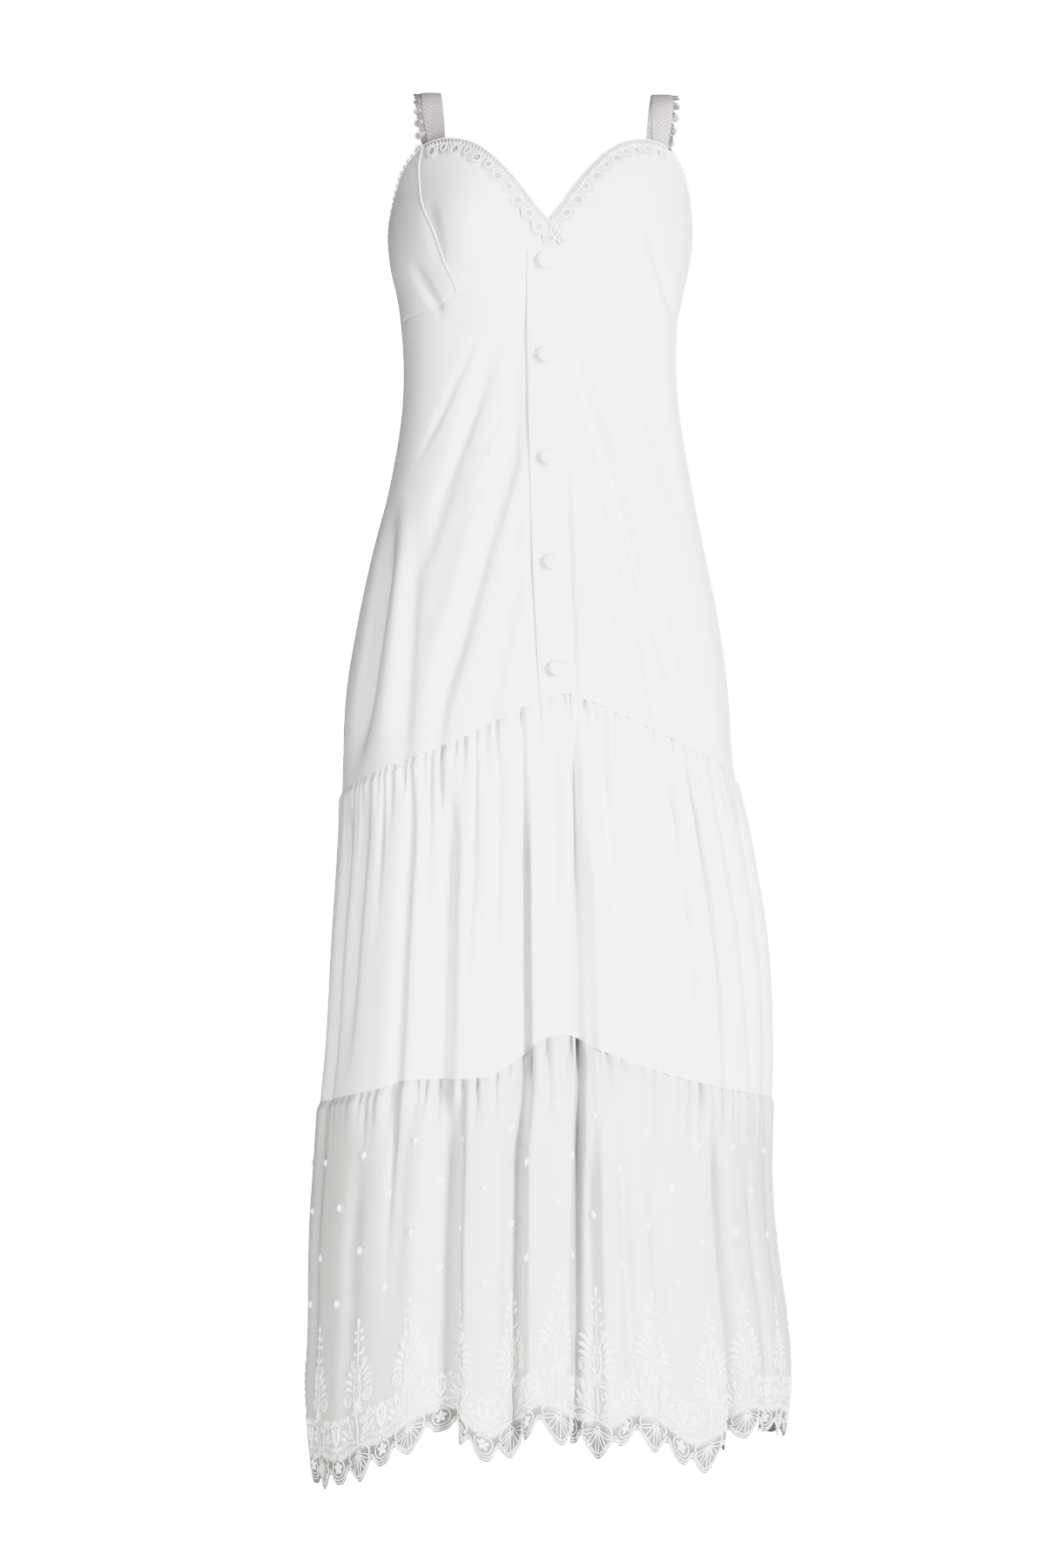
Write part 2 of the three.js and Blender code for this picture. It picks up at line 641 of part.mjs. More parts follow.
// The neckline lace of one side. It starts under the outer edge of the strap and ends below the point of
// the neckline. The wearer's right lace crosses over the left one.
function neckLace(side) {
  const { pitch, band, bigRing, smallRing, outerTurn, crossing, trimmed, lineSteps } = NECK_LACE;
  const fall = (TOP_EDGE[1].drop - TOP_EDGE[0].drop) / TOP_EDGE[1].turn;
  const stops = steps(lineSteps).map((share) => {
    const turn = mix(outerTurn, -crossing, share);
    const drop = turn > 0 ? topEdge(turn) : TOP_EDGE[0].drop + fall * turn;
    return { turn: side * turn, drop: drop + SEAM_GAP };
  });
  const line = bodyLine(stops);
  const ends = side < 0 ? LACE_ENDS.right : LACE_ENDS.left;
  const pointLength = bodyLine(stops.filter(({ turn }) => side * turn >= 0)).total;
  const repeats = Math.floor((pointLength + ends.scallop) / pitch);
  const start = (pointLength + ends.scallop - repeats * pitch) / 2;
  const rings = Array.from({ length: 2 * repeats }, (_, i) => (i % 2 ? smallRing : bigRing));
  const edgeEnd = pointLength + ends.edge;
  const cells = rings.map(({ radius, hole, sides }, i) => {
    const from = start + (i * pitch) / 2;
    const to = from + pitch / 2;
    const middle = (from + to) / 2;
    const left = i ? from : trimmed;
    const right = i < rings.length - 1 ? to : edgeEnd;
    const notch = -band - smallRing.radius * RING_SHARES.notch;
    const scallopY = -band - radius * RING_SHARES.scallop;
    const { corners, start: arcStart, sweep } = SCALLOP_ARC;
    const scallop = ringPoints(middle, scallopY, radius, corners, arcStart, sweep);
    const lower = [new THREE.Vector2(left, notch), ...scallop, new THREE.Vector2(to, notch)];
    const upper = [right, (left + right) / 2, left].map((x) => new THREE.Vector2(x, 0));
    const hollow = ringPoints(middle, -band - radius * RING_SHARES.hole, hole, sides, 0, -360);
    return { outline: [...lower, ...upper], holes: [hollow] };
  });
  const crosses = side < 0 ? LACE_OVERLAP : 0;
  const place = (x, y, height) => {
    const { turn, drop } = besideLine(line, x, -y);
    const climb = crosses * ramp(pointLength - LACE_CLIMB.from, pointLength - LACE_CLIMB.to, x);
    return movedOut(turn, drop, height + climb);
  };
  return trim({ cells, place, lift: LACE_LIFT, mirrored: side > 0 });
}

// A narrow lace edging: straight on one side, small scallops on the other, one cell each
function edgingCells(from, to, reach) {
  const count = Math.round((to - from) / EDGE_LACE.pitch);
  const pitch = (to - from) / count;
  const { stand, shoulder } = EDGE_LACE;
  const notch = EDGE_LACE.notch * reach;
  return Array.from({ length: count }, (_, k) => {
    const start = from + k * pitch;
    const corner = (share, aside) => new THREE.Vector2(start + share * pitch, aside);
    const straight = [corner(0, stand), corner(1, stand)];
    const lobe = [corner(1 - shoulder, reach), corner(shoulder, reach)];
    return { outline: [...straight, corner(1, notch), ...lobe, corner(0, notch)], holes: [] };
  });
}

// The lace that stands along an armhole, from the strap to the side seam
function armholeLace(side) {
  const { firstTurn, lastTurn, trimmed, lineSteps } = ARMHOLE_LACE;
  const stops = steps(lineSteps).map((share) => {
    const turn = mix(firstTurn, lastTurn, share);
    return { turn: side * turn, drop: topEdge(turn) };
  });
  const line = bodyLine(stops);
  const cells = edgingCells(trimmed, line.total - trimmed, EDGE_LACE.armholeReach);
  const place = (x, y, height) => {
    const { turn, drop } = besideLine(line, x, -y);
    return movedOut(turn, drop, height);
  };
  return trim({ cells, place, lift: -CLOTH, mirrored: side < 0 });
}

// A strap's middle line and the way across it: sewn inside the cup, over the shoulder, sewn in at the back
function strapPath({ side, frontTurn, backTurn, topX }) {
  const depth = CLOTH + SEAM_GAP + STRAP_SAG + STRAP_CLOTH / 2;
  const sewn = (turn, below) => {
    const drop = topEdge(turn) + below;
    const { across } = bodyFrame(side * turn, drop);
    return { point: movedOut(side * turn, drop, -depth), across: across.normalize() };
  };
  const front = [sewn(frontTurn, STRAP_TUCK), sewn(frontTurn, STRAP_LEAVES)];
  const rear = [sewn(backTurn, STRAP_LEAVES), sewn(backTurn, STRAP_TUCK)];
  rear.forEach(({ across }) => across.negate());
  const shoulder = STRAP_SHOULDER.map(({ inward, back, drop }) => ({
    point: new THREE.Vector3(topX - side * inward, back, -drop),
    across: new THREE.Vector3(1, 0, 0),
  }));
  return [...front, ...shoulder, ...rear];
}

// A strap and its edging share this frame: a point some way along, across and above the strap
function strapFrame(place) {
  const path = strapPath(place);
  const middle = new THREE.CatmullRomCurve3(path.map(({ point }) => point), false, 'centripetal');
  const across = new THREE.CatmullRomCurve3(path.map((stop) => stop.across), false, 'centripetal');
  const length = middle.getLength();
  return {
    length,
    at: (along, aside, above) => {
      const t = middle.getUtoTmapping(Math.min(Math.max(along / length, 0), 1));
      const way = middle.getTangent(t);
      const sideways = across.getPoint(t);
      const up = new THREE.Vector3().crossVectors(sideways, way).normalize();
      sideways.crossVectors(way, up).normalize();
      return middle.getPoint(t).addScaledVector(sideways, aside).addScaledVector(up, above);
    },
  };
}

function strap(place) {
  const frame = strapFrame(place);
  const half = STRAP_CLOTH / 2;
  const rows = steps(STRAP_ROWS).map((share) =>
    steps(STRAP_COLUMNS).map((across) => {
      const aside = mix(-STRAP_WIDTH / 2, STRAP_WIDTH / 2, across);
      const along = frame.length * (1 - share);
      const [out, inside] = [half, -half].map((above) => frame.at(along, aside, above));
      return { share: across, out, inside };
    }),
  );
  return wall(rows);
}

// The scalloped edging along the outer edge of a strap, clear of the panels that the strap is sewn to
function strapLace(strapPlace) {
  const { side } = strapPlace;
  const frame = strapFrame(strapPlace);
  const from = STRAP_TUCK + STRAP_LACE_ENDS.front;
  const to = frame.length - STRAP_TUCK - STRAP_LACE_ENDS.back;
  const cells = edgingCells(from, to, EDGE_LACE.strapReach);
  const place = (x, y, height) => frame.at(x, side * (STRAP_WIDTH / 2 + y), height);
  return trim({ cells, place, lift: -LACE / 2, mirrored: side > 0 });
}

// The button band lies on the two skirt fronts, over the line where they meet, smooth over their folds
function buttonBand() {
  const rows = steps(BAND_ROWS).map((down) =>
    steps(BAND_COLUMNS).map((share) => {
      const aside = mix(-BAND_WIDTH / 2, BAND_WIDTH / 2, share);
      const foot = tier1Seam(turnAtX(bandX(BAND_FOOT) + aside, BAND_FOOT)) - SEAM_GAP / 2;
      const seam = underbust(turnAtX(bandX(BAND_TOP) + aside, BAND_TOP));
      const top = Math.max(BAND_TOP, seam + SEAM_GAP);
      const drop = mix(top, foot, down);
      const turn = turnAtX(bandX(drop) + aside, drop);
      const out = movedOut(turn, drop, BAND_LIFT + CLOTH, false);
      const inside = movedOut(turn, drop, BAND_LIFT, false);
      return { share, out, inside };
    }),
  );
  return wall(rows);
}

function button() {
  const outline = BUTTON_PROFILE.map(({ radius, height }) => new THREE.Vector2(radius, height));
  return new THREE.LatheGeometry(outline, BUTTON_SIDES);
}

const cloth = (color, roughness) => new THREE.MeshStandardMaterial({ color, roughness, metalness: 0 });
const mainCloth = cloth(0xf3f2f3, 0.85);
const tierCloth = cloth(0xf3f2f2, 0.85);
const hemCloth = cloth(0xeff0ec, 0.8);
const laceThread = cloth(0xf1f0ee, 0.75);
const strapCloth = cloth(0xebe8ea, 0.8);
const buttonCloth = cloth(0xefeef1, 0.7);

const dress = new THREE.Group();

function sew(name, geometry, material) {
  const mesh = new THREE.Mesh(geometry, material);
  mesh.name = name;
  dress.add(mesh);
  return mesh;
}

// A side panel's edges run from the wearer's right to left, so they swap over on the right side
function sided(side, inner, outer) {
  const edges = [(down) => side * inner(down), (down) => side * outer(down)];
  return side > 0 ? { from: edges[0], to: edges[1] } : { from: edges[1], to: edges[0] };
}

const sideSeam = () => SIDE_SEAM;

Object.entries(STRAPS).forEach(([word, strapPlace]) => {
  const { side } = strapPlace;
  const cup = { top: topEdge, bottom: underbust, downShares: CUP_ROWS };
  const frontEdges = sided(side, () => 0, cupSeamTurn);
  const sideEdges = sided(side, cupSeamTurn, sideSeam);
  const { cupFront, cupSide, skirtFront, skirtFoot } = PANEL_COLUMNS;
  sew(`cup_front_${word}`, bodyPanel({ ...cup, ...frontEdges, columns: cupFront }), mainCloth);
  sew(`cup_side_${word}`, bodyPanel({ ...cup, ...sideEdges, columns: cupSide }), mainCloth);
  const bandTurn = (down) => {
    const drop = mix(underbust(0), BAND_FOOT, down);
    return turnAtX(bandX(drop), drop);
  };
  const skirtEdges = sided(side, (down) => side * bandTurn(down), sideSeam);
  const skirt = { top: underbust, bottom: tier1Seam, downShares: SKIRT_ROWS };
  const skirtColumns = { columns: skirtFront, footColumns: skirtFoot };
  sew(`skirt_front_${word}`, bodyPanel({ ...skirt, ...skirtEdges, ...skirtColumns }), mainCloth);
  sew(`strap_${word}`, strap(strapPlace), strapCloth);
  sew(`neck_lace_${word}`, neckLace(side), laceThread);
  sew(`strap_lace_${word}`, strapLace(strapPlace), laceThread);
  sew(`armhole_lace_${word}`, armholeLace(side), laceThread);
});

const backEdges = { from: sideSeam, to: () => 360 - SIDE_SEAM };
const bodiceBack = { top: topEdge, bottom: underbust, downShares: BODICE_BACK_ROWS };
const skirtBack = { top: underbust, bottom: tier1Seam, downShares: SKIRT_ROWS };
const { bodiceBack: bodiceColumns, skirtBack: backColumns } = PANEL_COLUMNS;
sew('bodice_back', bodyPanel({ ...backEdges, ...bodiceBack, columns: bodiceColumns }), mainCloth);
sew('skirt_back', bodyPanel({ ...backEdges, ...skirtBack, columns: backColumns }), mainCloth);

const FACES = [
  { fromTurn: -SIDE_SEAM, word: 'front' },
  { fromTurn: SIDE_SEAM, word: 'back' },
];
FACES.forEach(({ fromTurn, word }) => {
  const upper = { tier: tier1, fromTurn, gathers: GATHERS.tier1, plainRows: TIER_1_PLAIN_ROWS };
  const lower = { tier: tier2, fromTurn, gathers: GATHERS.tier2, plainRows: TIER_2_PLAIN_ROWS };
  sew(`tier_1_${word}`, tierPanel(upper), tierCloth);
  sew(`tier_2_${word}`, tierPanel({ ...lower, hem: hemRow }), hemCloth);
});

sew('button_band', buttonBand(), mainCloth);
BUTTON_DROPS.forEach((drop, i) => {
  const turn = turnAtX(bandX(drop), drop);
  const { out } = bodyFrame(turn, drop, false);
  const mesh = sew(`button_${i + 1}`, button(), buttonCloth);
  mesh.position.copy(movedOut(turn, drop, BAND_LIFT + CLOTH + SEAM_GAP, false));
  mesh.quaternion.setFromUnitVectors(new THREE.Vector3(0, 1, 0), out);
});

export default dress;
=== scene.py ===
"""A white sleeveless maxi dress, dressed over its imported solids: cloth shells with folds and gathers, lace,
sewing, embroidery and studio light. The tables of the dress are in millimetres and degrees, as in the part's
source. Flat cuts, lights and view are in metres, as the meshes are."""
import json
import math

import bpy
import numpy as np
from mathutils import Vector
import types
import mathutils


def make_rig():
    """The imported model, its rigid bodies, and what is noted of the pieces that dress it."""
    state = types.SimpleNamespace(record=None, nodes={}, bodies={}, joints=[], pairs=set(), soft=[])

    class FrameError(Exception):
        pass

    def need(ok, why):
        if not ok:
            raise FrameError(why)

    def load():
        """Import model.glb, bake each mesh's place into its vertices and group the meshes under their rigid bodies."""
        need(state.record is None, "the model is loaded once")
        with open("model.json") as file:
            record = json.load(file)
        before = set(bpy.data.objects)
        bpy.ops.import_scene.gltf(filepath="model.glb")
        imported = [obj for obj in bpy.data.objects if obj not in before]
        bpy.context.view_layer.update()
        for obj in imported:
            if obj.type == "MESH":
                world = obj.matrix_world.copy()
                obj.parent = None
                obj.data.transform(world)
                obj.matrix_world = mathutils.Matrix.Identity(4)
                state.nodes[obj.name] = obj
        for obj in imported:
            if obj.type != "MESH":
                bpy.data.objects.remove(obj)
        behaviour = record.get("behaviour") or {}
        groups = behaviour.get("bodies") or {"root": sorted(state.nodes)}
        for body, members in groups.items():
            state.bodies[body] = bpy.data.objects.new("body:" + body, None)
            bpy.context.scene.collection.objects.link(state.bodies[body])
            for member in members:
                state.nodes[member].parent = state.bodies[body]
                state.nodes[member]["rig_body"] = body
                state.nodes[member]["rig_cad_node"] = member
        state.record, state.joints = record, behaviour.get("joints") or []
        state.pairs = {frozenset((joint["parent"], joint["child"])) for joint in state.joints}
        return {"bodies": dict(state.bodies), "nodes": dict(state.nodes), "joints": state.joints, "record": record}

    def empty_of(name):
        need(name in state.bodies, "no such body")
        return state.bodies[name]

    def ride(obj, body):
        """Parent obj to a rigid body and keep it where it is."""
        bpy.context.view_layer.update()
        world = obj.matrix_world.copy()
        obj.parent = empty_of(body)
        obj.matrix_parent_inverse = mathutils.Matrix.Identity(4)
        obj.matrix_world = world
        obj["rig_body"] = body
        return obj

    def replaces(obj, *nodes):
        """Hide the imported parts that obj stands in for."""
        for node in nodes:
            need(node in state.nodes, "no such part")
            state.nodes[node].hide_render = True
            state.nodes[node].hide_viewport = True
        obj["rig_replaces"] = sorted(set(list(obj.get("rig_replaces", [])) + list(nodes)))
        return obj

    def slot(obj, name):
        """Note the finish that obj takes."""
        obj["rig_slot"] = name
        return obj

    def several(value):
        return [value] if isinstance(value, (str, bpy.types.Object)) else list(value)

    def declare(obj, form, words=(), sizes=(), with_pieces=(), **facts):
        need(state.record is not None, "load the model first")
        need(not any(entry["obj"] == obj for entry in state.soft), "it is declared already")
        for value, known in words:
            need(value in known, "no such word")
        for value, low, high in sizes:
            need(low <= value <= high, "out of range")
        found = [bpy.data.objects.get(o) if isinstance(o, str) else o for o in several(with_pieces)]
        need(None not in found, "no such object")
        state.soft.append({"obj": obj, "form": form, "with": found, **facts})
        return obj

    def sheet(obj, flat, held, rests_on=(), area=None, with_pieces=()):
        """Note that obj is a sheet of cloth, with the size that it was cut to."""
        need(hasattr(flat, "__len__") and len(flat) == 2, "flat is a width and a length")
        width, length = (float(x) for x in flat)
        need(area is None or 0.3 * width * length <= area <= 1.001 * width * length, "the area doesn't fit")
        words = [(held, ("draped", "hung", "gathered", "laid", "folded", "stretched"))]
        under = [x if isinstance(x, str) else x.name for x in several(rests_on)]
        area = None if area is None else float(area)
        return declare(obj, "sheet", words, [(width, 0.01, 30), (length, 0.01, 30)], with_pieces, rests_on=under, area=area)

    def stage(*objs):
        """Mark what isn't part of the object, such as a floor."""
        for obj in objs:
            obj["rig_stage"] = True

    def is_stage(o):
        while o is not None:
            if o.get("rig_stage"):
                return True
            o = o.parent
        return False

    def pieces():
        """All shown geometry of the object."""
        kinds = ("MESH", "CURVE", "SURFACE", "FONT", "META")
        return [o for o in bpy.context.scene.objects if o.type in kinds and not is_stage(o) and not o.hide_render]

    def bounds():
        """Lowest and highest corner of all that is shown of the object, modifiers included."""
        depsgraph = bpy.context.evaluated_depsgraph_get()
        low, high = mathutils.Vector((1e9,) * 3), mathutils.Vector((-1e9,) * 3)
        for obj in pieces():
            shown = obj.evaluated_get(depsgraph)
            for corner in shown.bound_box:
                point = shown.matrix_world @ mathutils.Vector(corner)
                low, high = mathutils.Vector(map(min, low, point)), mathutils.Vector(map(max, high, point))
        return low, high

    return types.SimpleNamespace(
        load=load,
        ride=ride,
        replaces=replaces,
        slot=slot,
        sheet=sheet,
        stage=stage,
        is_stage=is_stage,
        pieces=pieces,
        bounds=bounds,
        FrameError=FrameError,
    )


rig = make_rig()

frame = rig.load()
cad_low, cad_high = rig.bounds()

MM = 0.001
BODY = "root"

# Driving dimensions
SIDES = {"right": -1, "left": 1}
CLOTH = 0.6
HEM_CLOTH = 0.7 * CLOTH
LACE_NET = 0.15
PANEL_GAP = 0.01
PANEL_MESH = {
    "cup_front": (70, 70), "cup_side": (40, 60), "bodice_back": (120, 24), "skirt_front": (104, 120),
    "skirt_back": (130, 80),
}
TURN_STEP = 0.2
DROP_STEP = 0.5
SEAM_ROLL = {"depth": 0.6, "reach": 1.8}
CUP_APEX = {"x": 80, "drop": 136, "height": 24, "spread_x": 36, "spread_drop": 44}
CUP_FADE = 0.3
CUP_SEAM_CORD = {"right": (1.9, 1.7), "left": (1.4, 1.0)}
CUP_SEAM_SWAY = {"size": 0.5, "length": 9}
BAND_WIDTH = 36
BAND_TOP = 168.5
BAND_FOOT = 609
BAND_LIFT = 1.0
BAND_CLOTH = 1.1
BAND_GAP = 0.3
BAND_MESH = {"across": (20, 0.04), "down": (150, 0.01)}
BAND_ROLL = (0.5, 1.4)
BAND_RIPPLE = {"height": 0.5, "down": 17, "across": 9, "slow": 61}
BUTTON_PULL = {"depth": 0.8, "down": 9, "across": 13}
BUTTON_TILT = {"up": 27, "left": 10}
BUTTON_SHANK = 2.6
BUTTON_SIDES = 40
BUTTON_PLEATS = {"count": 13, "depth": 0.012, "height": 2.6, "reach": 1.4}
BUTTON_PROFILE = [
    (2.4, -2.4), (2.4, 0.6), (6.4, 0.9), (8.5, 1.5), (9.2, 2.4), (9.2, 3.2), (8.8, 3.9), (7.6, 4.6),
    (5.4, 5.1), (2.8, 5.4), (0.5, 5.5),
]
STITCH = {
    "inset": 2.8, "pitch": 3.2, "length": 2.3, "width": 0.5, "rise": 0.5, "sunk": 0.3, "top_gap": 12,
    "foot_gap": 6,
}
STRAP_WIDTH = 21
STRAP_CLOTH = 1.2
STRAP_TUCK = 12
STRAP_INSET = 3.2
STRAP_ROLL = (0.3, 1.2)
STRAP_MESH = {"across": (12, 0.06), "along": 110}
STRAP_BOW = {"rise": 0.5, "from": 14, "to": 30}
STRAPS = {
    "right": {"front_turn": 50.5, "back_turn": 137, "top_x": -112},
    "left": {"front_turn": 54.5, "back_turn": 135, "top_x": 121},
}
STRAP_SHOULDER = [(-1, -31, 17), (0, -9, 2.25), (0, 11, 2.25), (-1, 36, 21), (-4, 58, 74)]
STRAP_FIGURE = 5.2
NECK_LACE = {
    "pitch": 32, "header": 7, "cord": 1.2, "rise": 0.8, "lift": 0.4, "overlap": 1.6, "lobe": 12.5,
    "outer_turn": 57, "crossing": 7.5, "bar_step": 4.2, "bar_lean": 1.6, "ring_seat": 0.8,
    "small_ring": {"reach": 5.2, "radius": 3.9, "cord": 2.2},
    "big_ring": {"reach": 7.6, "radius": 4.8, "cord": 2.4, "frill": (7.3, 1.0), "spokes": (5.4, 6.4, 7.4)},
    "hole": 3.8, "hole_across": 12.2, "climb": (34, 20), "taper": (0.7, 16), "net_sunk": 0.1, "net_edge": 0.8,
    "ends": {"right": {"edge": 31, "scallop": 29}, "left": {"edge": 4, "scallop": 13}},
}
EDGE_LACE = {
    "strap_pitch": 13.5, "strap_reach": 7.5, "armhole_pitch": 6.8, "armhole_reach": 4.2,
    "armhole_turns": (60, 89.5), "base": 0.6, "base_cord": (1.3, 0.8), "scallop_cord": (1.2, 0.8),
    "link_cord": (0.9, 0.7), "pad": 0.7, "armhole_sunk": 0.7, "strap_sunk": 0.9, "strap_overlap": 0.8,
    "strap_ends": (3, 5),
}
EMBROIDERY = {
    "pitch": 70, "cord": 2.1, "rise": 1.0, "sunk": 0.15, "seam_gap": 0.4,
    "rosettes": [(0.5, 185), (0, 232), (0.5, 280), (0, 328)],
}
# The hem's net: its holes are filled with a dark, mostly opaque film, which is painted shade.
NET = {
    "mesh": 1.5, "strand": 0.9, "soft": 0.06, "film": 0.8, "shade": (0.13, 0.13, 0.125), "open_to": 25,
    "close_from": 36,
}
TIER_HALVES = {"front": {"from_turn": -90, "columns": 520}, "back": {"from_turn": 90, "columns": 360}}
TIER_COLUMNS = {"closer": 5, "beside": 1.5, "deeper_than": 10, "tries": 2000}
TIER_ROWS = {
    "under": [1, 0.6, 0.3], "close": [0, 1, 2.4, 4.4, 6.6, 9.4, 13, 17.5, 23, 30, 38, 47, 58, 70],
    "even_from": 84, "step": 9, "border": 12,
}
TUCK_UNDER = {"depth": 0.8, "reach": 1.5, "out_at": 0.6}
HANG_SHARE = 0.25
PUFF = {"rise": 3.2, "reach": 10}
SWAY = {"size": 0.22, "span": (0.05, 0.7), "waves": [(1, 17, 40), (0.6, 29, -70)]}
HEM_REPEATS = 24
HEM_BORDER = 46
HEM_SIDES = {"from": 62, "to": 84, "share": 0.5}

# The flat cut of each cloth: width and length in metres, the share of that rectangle which is cloth,
# how it is held, and what it is sewn to or lies on
SHEETS = {
    "cup_front_right": (0.171, 0.166, 0.52, "stretched", ["strap_right", "button_band"]),
    "cup_front_left": (0.172, 0.168, 0.50, "stretched", ["strap_left", "button_band"]),
    "cup_side_right": (0.116, 0.165, 0.65, "stretched", ["cup_front_right", "bodice_back"]),
    "cup_side_left": (0.114, 0.169, 0.66, "stretched", ["cup_front_left", "bodice_back"]),
    "bodice_back": (0.403, 0.078, 0.88, "stretched", ["strap_right", "strap_left"]),
    "skirt_front_right": (0.300, 0.476, 0.74, "hung", ["cup_front_right", "cup_side_right"]),
    "skirt_front_left": (0.287, 0.465, 0.76, "hung", ["cup_front_left", "cup_side_left"]),
    "skirt_back": (0.563, 0.476, 0.79, "hung", ["bodice_back"]),
    "button_band": (0.038, 0.446, 1.0, "stretched", ["skirt_front_right", "skirt_front_left"]),
    "tier_1_front": (0.92, 0.335, 1.0, "gathered", ["skirt_front_right", "skirt_front_left"]),
    "tier_1_back": (0.92, 0.32, 1.0, "gathered", ["skirt_back"]),
    "tier_2_front": (0.96, 0.39, 0.97, "gathered", ["tier_1_front"]),
    "tier_2_back": (0.94, 0.385, 0.97, "gathered", ["tier_1_back"]),
    "strap_right": (0.022, 0.308, 1.0, "stretched", ["bodice_back"]),
    "strap_left": (0.022, 0.306, 1.0, "stretched", ["bodice_back"]),
    "lace_ground_right": (0.199, 0.019, 0.84, "stretched", ["cup_front_right"]),
    "lace_ground_left": (0.173, 0.019, 0.83, "stretched", ["cup_front_left"]),
}

# Tones, from dark to light
MAIN_TONES = ((0.84, 0.842, 0.85), (0.88, 0.882, 0.89))
BUTTON_TONES = ((0.84, 0.84, 0.86), (0.87, 0.87, 0.89))
HEM_TONES = ((0.66, 0.667, 0.66), (0.7, 0.707, 0.7))
# The straps' grey is painted shade on white tape.
STRAP_PAINTED_SHADE_TONES = ((0.5, 0.48, 0.485), (0.6, 0.58, 0.585))
# The lace ground's grey, and the grey in the middles of its rings, are painted shade.
LACE_GROUND_PAINTED_SHADE_TONES = ((0.62, 0.615, 0.62), (0.72, 0.715, 0.72))
LACE_HOLE_PAINTED_SHADE = (0.57, 0.555, 0.565)

# Woven cloths: tones, threads to a metre, how slubby they are, and how far the weave stands out
COTTONS = {
    "main_cloth": (MAIN_TONES, 1500.0, 0.9, 0.5),
    "tier_cloth": (MAIN_TONES, 1500.0, 0.6, 0.4),
    "button_cloth": (BUTTON_TONES, 1500.0, 0.4, 0.4),
    "hem_cloth": (HEM_TONES, 2200.0, 0.3, 0.25),
    "lace_ground": (LACE_GROUND_PAINTED_SHADE_TONES, 700.0, 0.3, 0.6),
}
THREADS = {
    "lace": ((0.88, 0.88, 0.885), (0.94, 0.94, 0.945)),
    # The edging's dark tone is painted shade: the shadow along the strap's edge and in its rings.
    "edging": ((0.32, 0.313, 0.316), (0.5, 0.49, 0.495)),
    "embroidery": ((0.92, 0.925, 0.91), (0.97, 0.975, 0.96)),
}
SLUBS = {"across": (28, 760, 1), "down": (620, 34, 1), "slow": (9, 6, 1)}
FINENESS = 1400.0
FINISH = {"cotton": (0.9, 0.08), "thread": (0.75, 0.1), "tape": (0.85, 0.08), "floor": (0.9, 0)}
SPECULAR = 0.25
TONE_SPAN = (0.3, 0.7)
CLOTH_RELIEF = 0.0004
THREAD_RELIEF = 0.0003

# Light and view
SURROUND = {"left": (0.08, 0.066, 0.062), "right": (0.22, 0.22, 0.225), "seen": 2.6}
SOFTBOXES = {
    "right_softbox": ((1.85, -3.08, -0.1), (0, 0, -0.75), (0.8, 1.8), 74),
    "left_softbox": ((-1.3, -3.38, -0.3), (0, 0, -0.75), (1.2, 2.4), 26),
    "low_softbox": ((-1.0, -1.0, -1.45), (-0.1, 0, -1.15), (0.6, 0.5), 6.5),
    "top_softbox": ((0.3, -1.5, 1.7), (0, 0, -0.3), (1.4, 0.8), 8),
    "back_softbox": ((1.2, 3.0, -0.1), (0, 0, -0.75), (0.9, 2.0), 60),
}
TONE_CURVE = [
    (0, 0), (0.12, 0.14), (0.24, 0.3), (0.41, 0.57), (0.52, 0.705), (0.68, 0.82), (0.8, 0.862), (1.0, 0.892),
    (1.3, 0.92), (1.8, 0.96), (2.4, 1),
]
FLOOR = {"drop": 1460, "radius": 2600, "colour": (0.86, 0.86, 0.86), "shine": (2.6, 2.6, 2.6)}
CAMERA = {"azimuth": -2.5, "distance": 4.0, "view_height": 1.584, "aside": -0.0194, "level": -0.697}

# Half widths and half depths of the dress at each drop below the top of the straps
SECTION_COLUMNS = ("drop", "right", "left", "front", "back")
SECTIONS = [
    (30, 134, 138, 80, 86),
    (60, 143, 145, 89, 91),
    (86, 151, 150, 97, 95),
    (112, 154, 152, 102, 98),
    (145, 156, 153, 105, 100),
    (178, 153, 149, 104, 99),
    (204, 147, 143, 100, 95),
    (231, 143, 138, 96, 90),
    (275, 140, 136, 92, 85),
    (327, 142, 140, 92, 88),
    (398, 154, 152, 101, 106),
    (468, 172, 166, 113, 124),
    (539, 187, 180, 126, 138),
    (609, 198, 189, 137, 148),
    (680, 201, 194, 146, 156),
    (750, 203, 209, 156, 164),
    (855, 210, 226, 169, 176),
    (961, 216, 231, 180, 187),
    (1031, 223, 229, 187, 193),
    (1137, 232, 233, 195, 202),
    (1243, 234, 246, 201, 209),
    (1313, 236, 248, 204, 212),
    (1410, 228, 233, 204, 210),
]

# Edges and seams: turn from the centre front, and drop
TOP_EDGE = [
    (0, 140), (4.3, 127), (7.8, 114), (11.9, 100), (16.6, 87), (22.5, 73.5), (31, 61.5), (42, 56), (51, 57),
    (58.5, 62), (65, 73), (70, 86), (77, 112), (84, 138), (90, 157), (105, 163), (137, 165), (180, 167),
]
UNDERBUST_SEAM = [(0, 167), (8, 174), (18, 188), (37, 212), (50, 224), (75, 232), (90, 234), (180, 236)]
TIER_1_SEAM = [
    (-180, 690), (-135, 695), (-90, 704), (-60, 687), (-42, 671), (-23, 649), (-9, 624), (4, BAND_FOOT),
    (12, 615), (30, 639), (54, 668), (90, 694), (135, 694), (180, 690),
]
TIER_2_SEAM = [
    (-180, 1006), (-135, 1010), (-90, 1016), (-52, 998), (-41, 986), (-16, 979), (-10, 966), (-3, 945),
    (4, 939), (12, 954), (26, 975), (54, 999), (90, 1012), (135, 1010), (180, 1006),
]
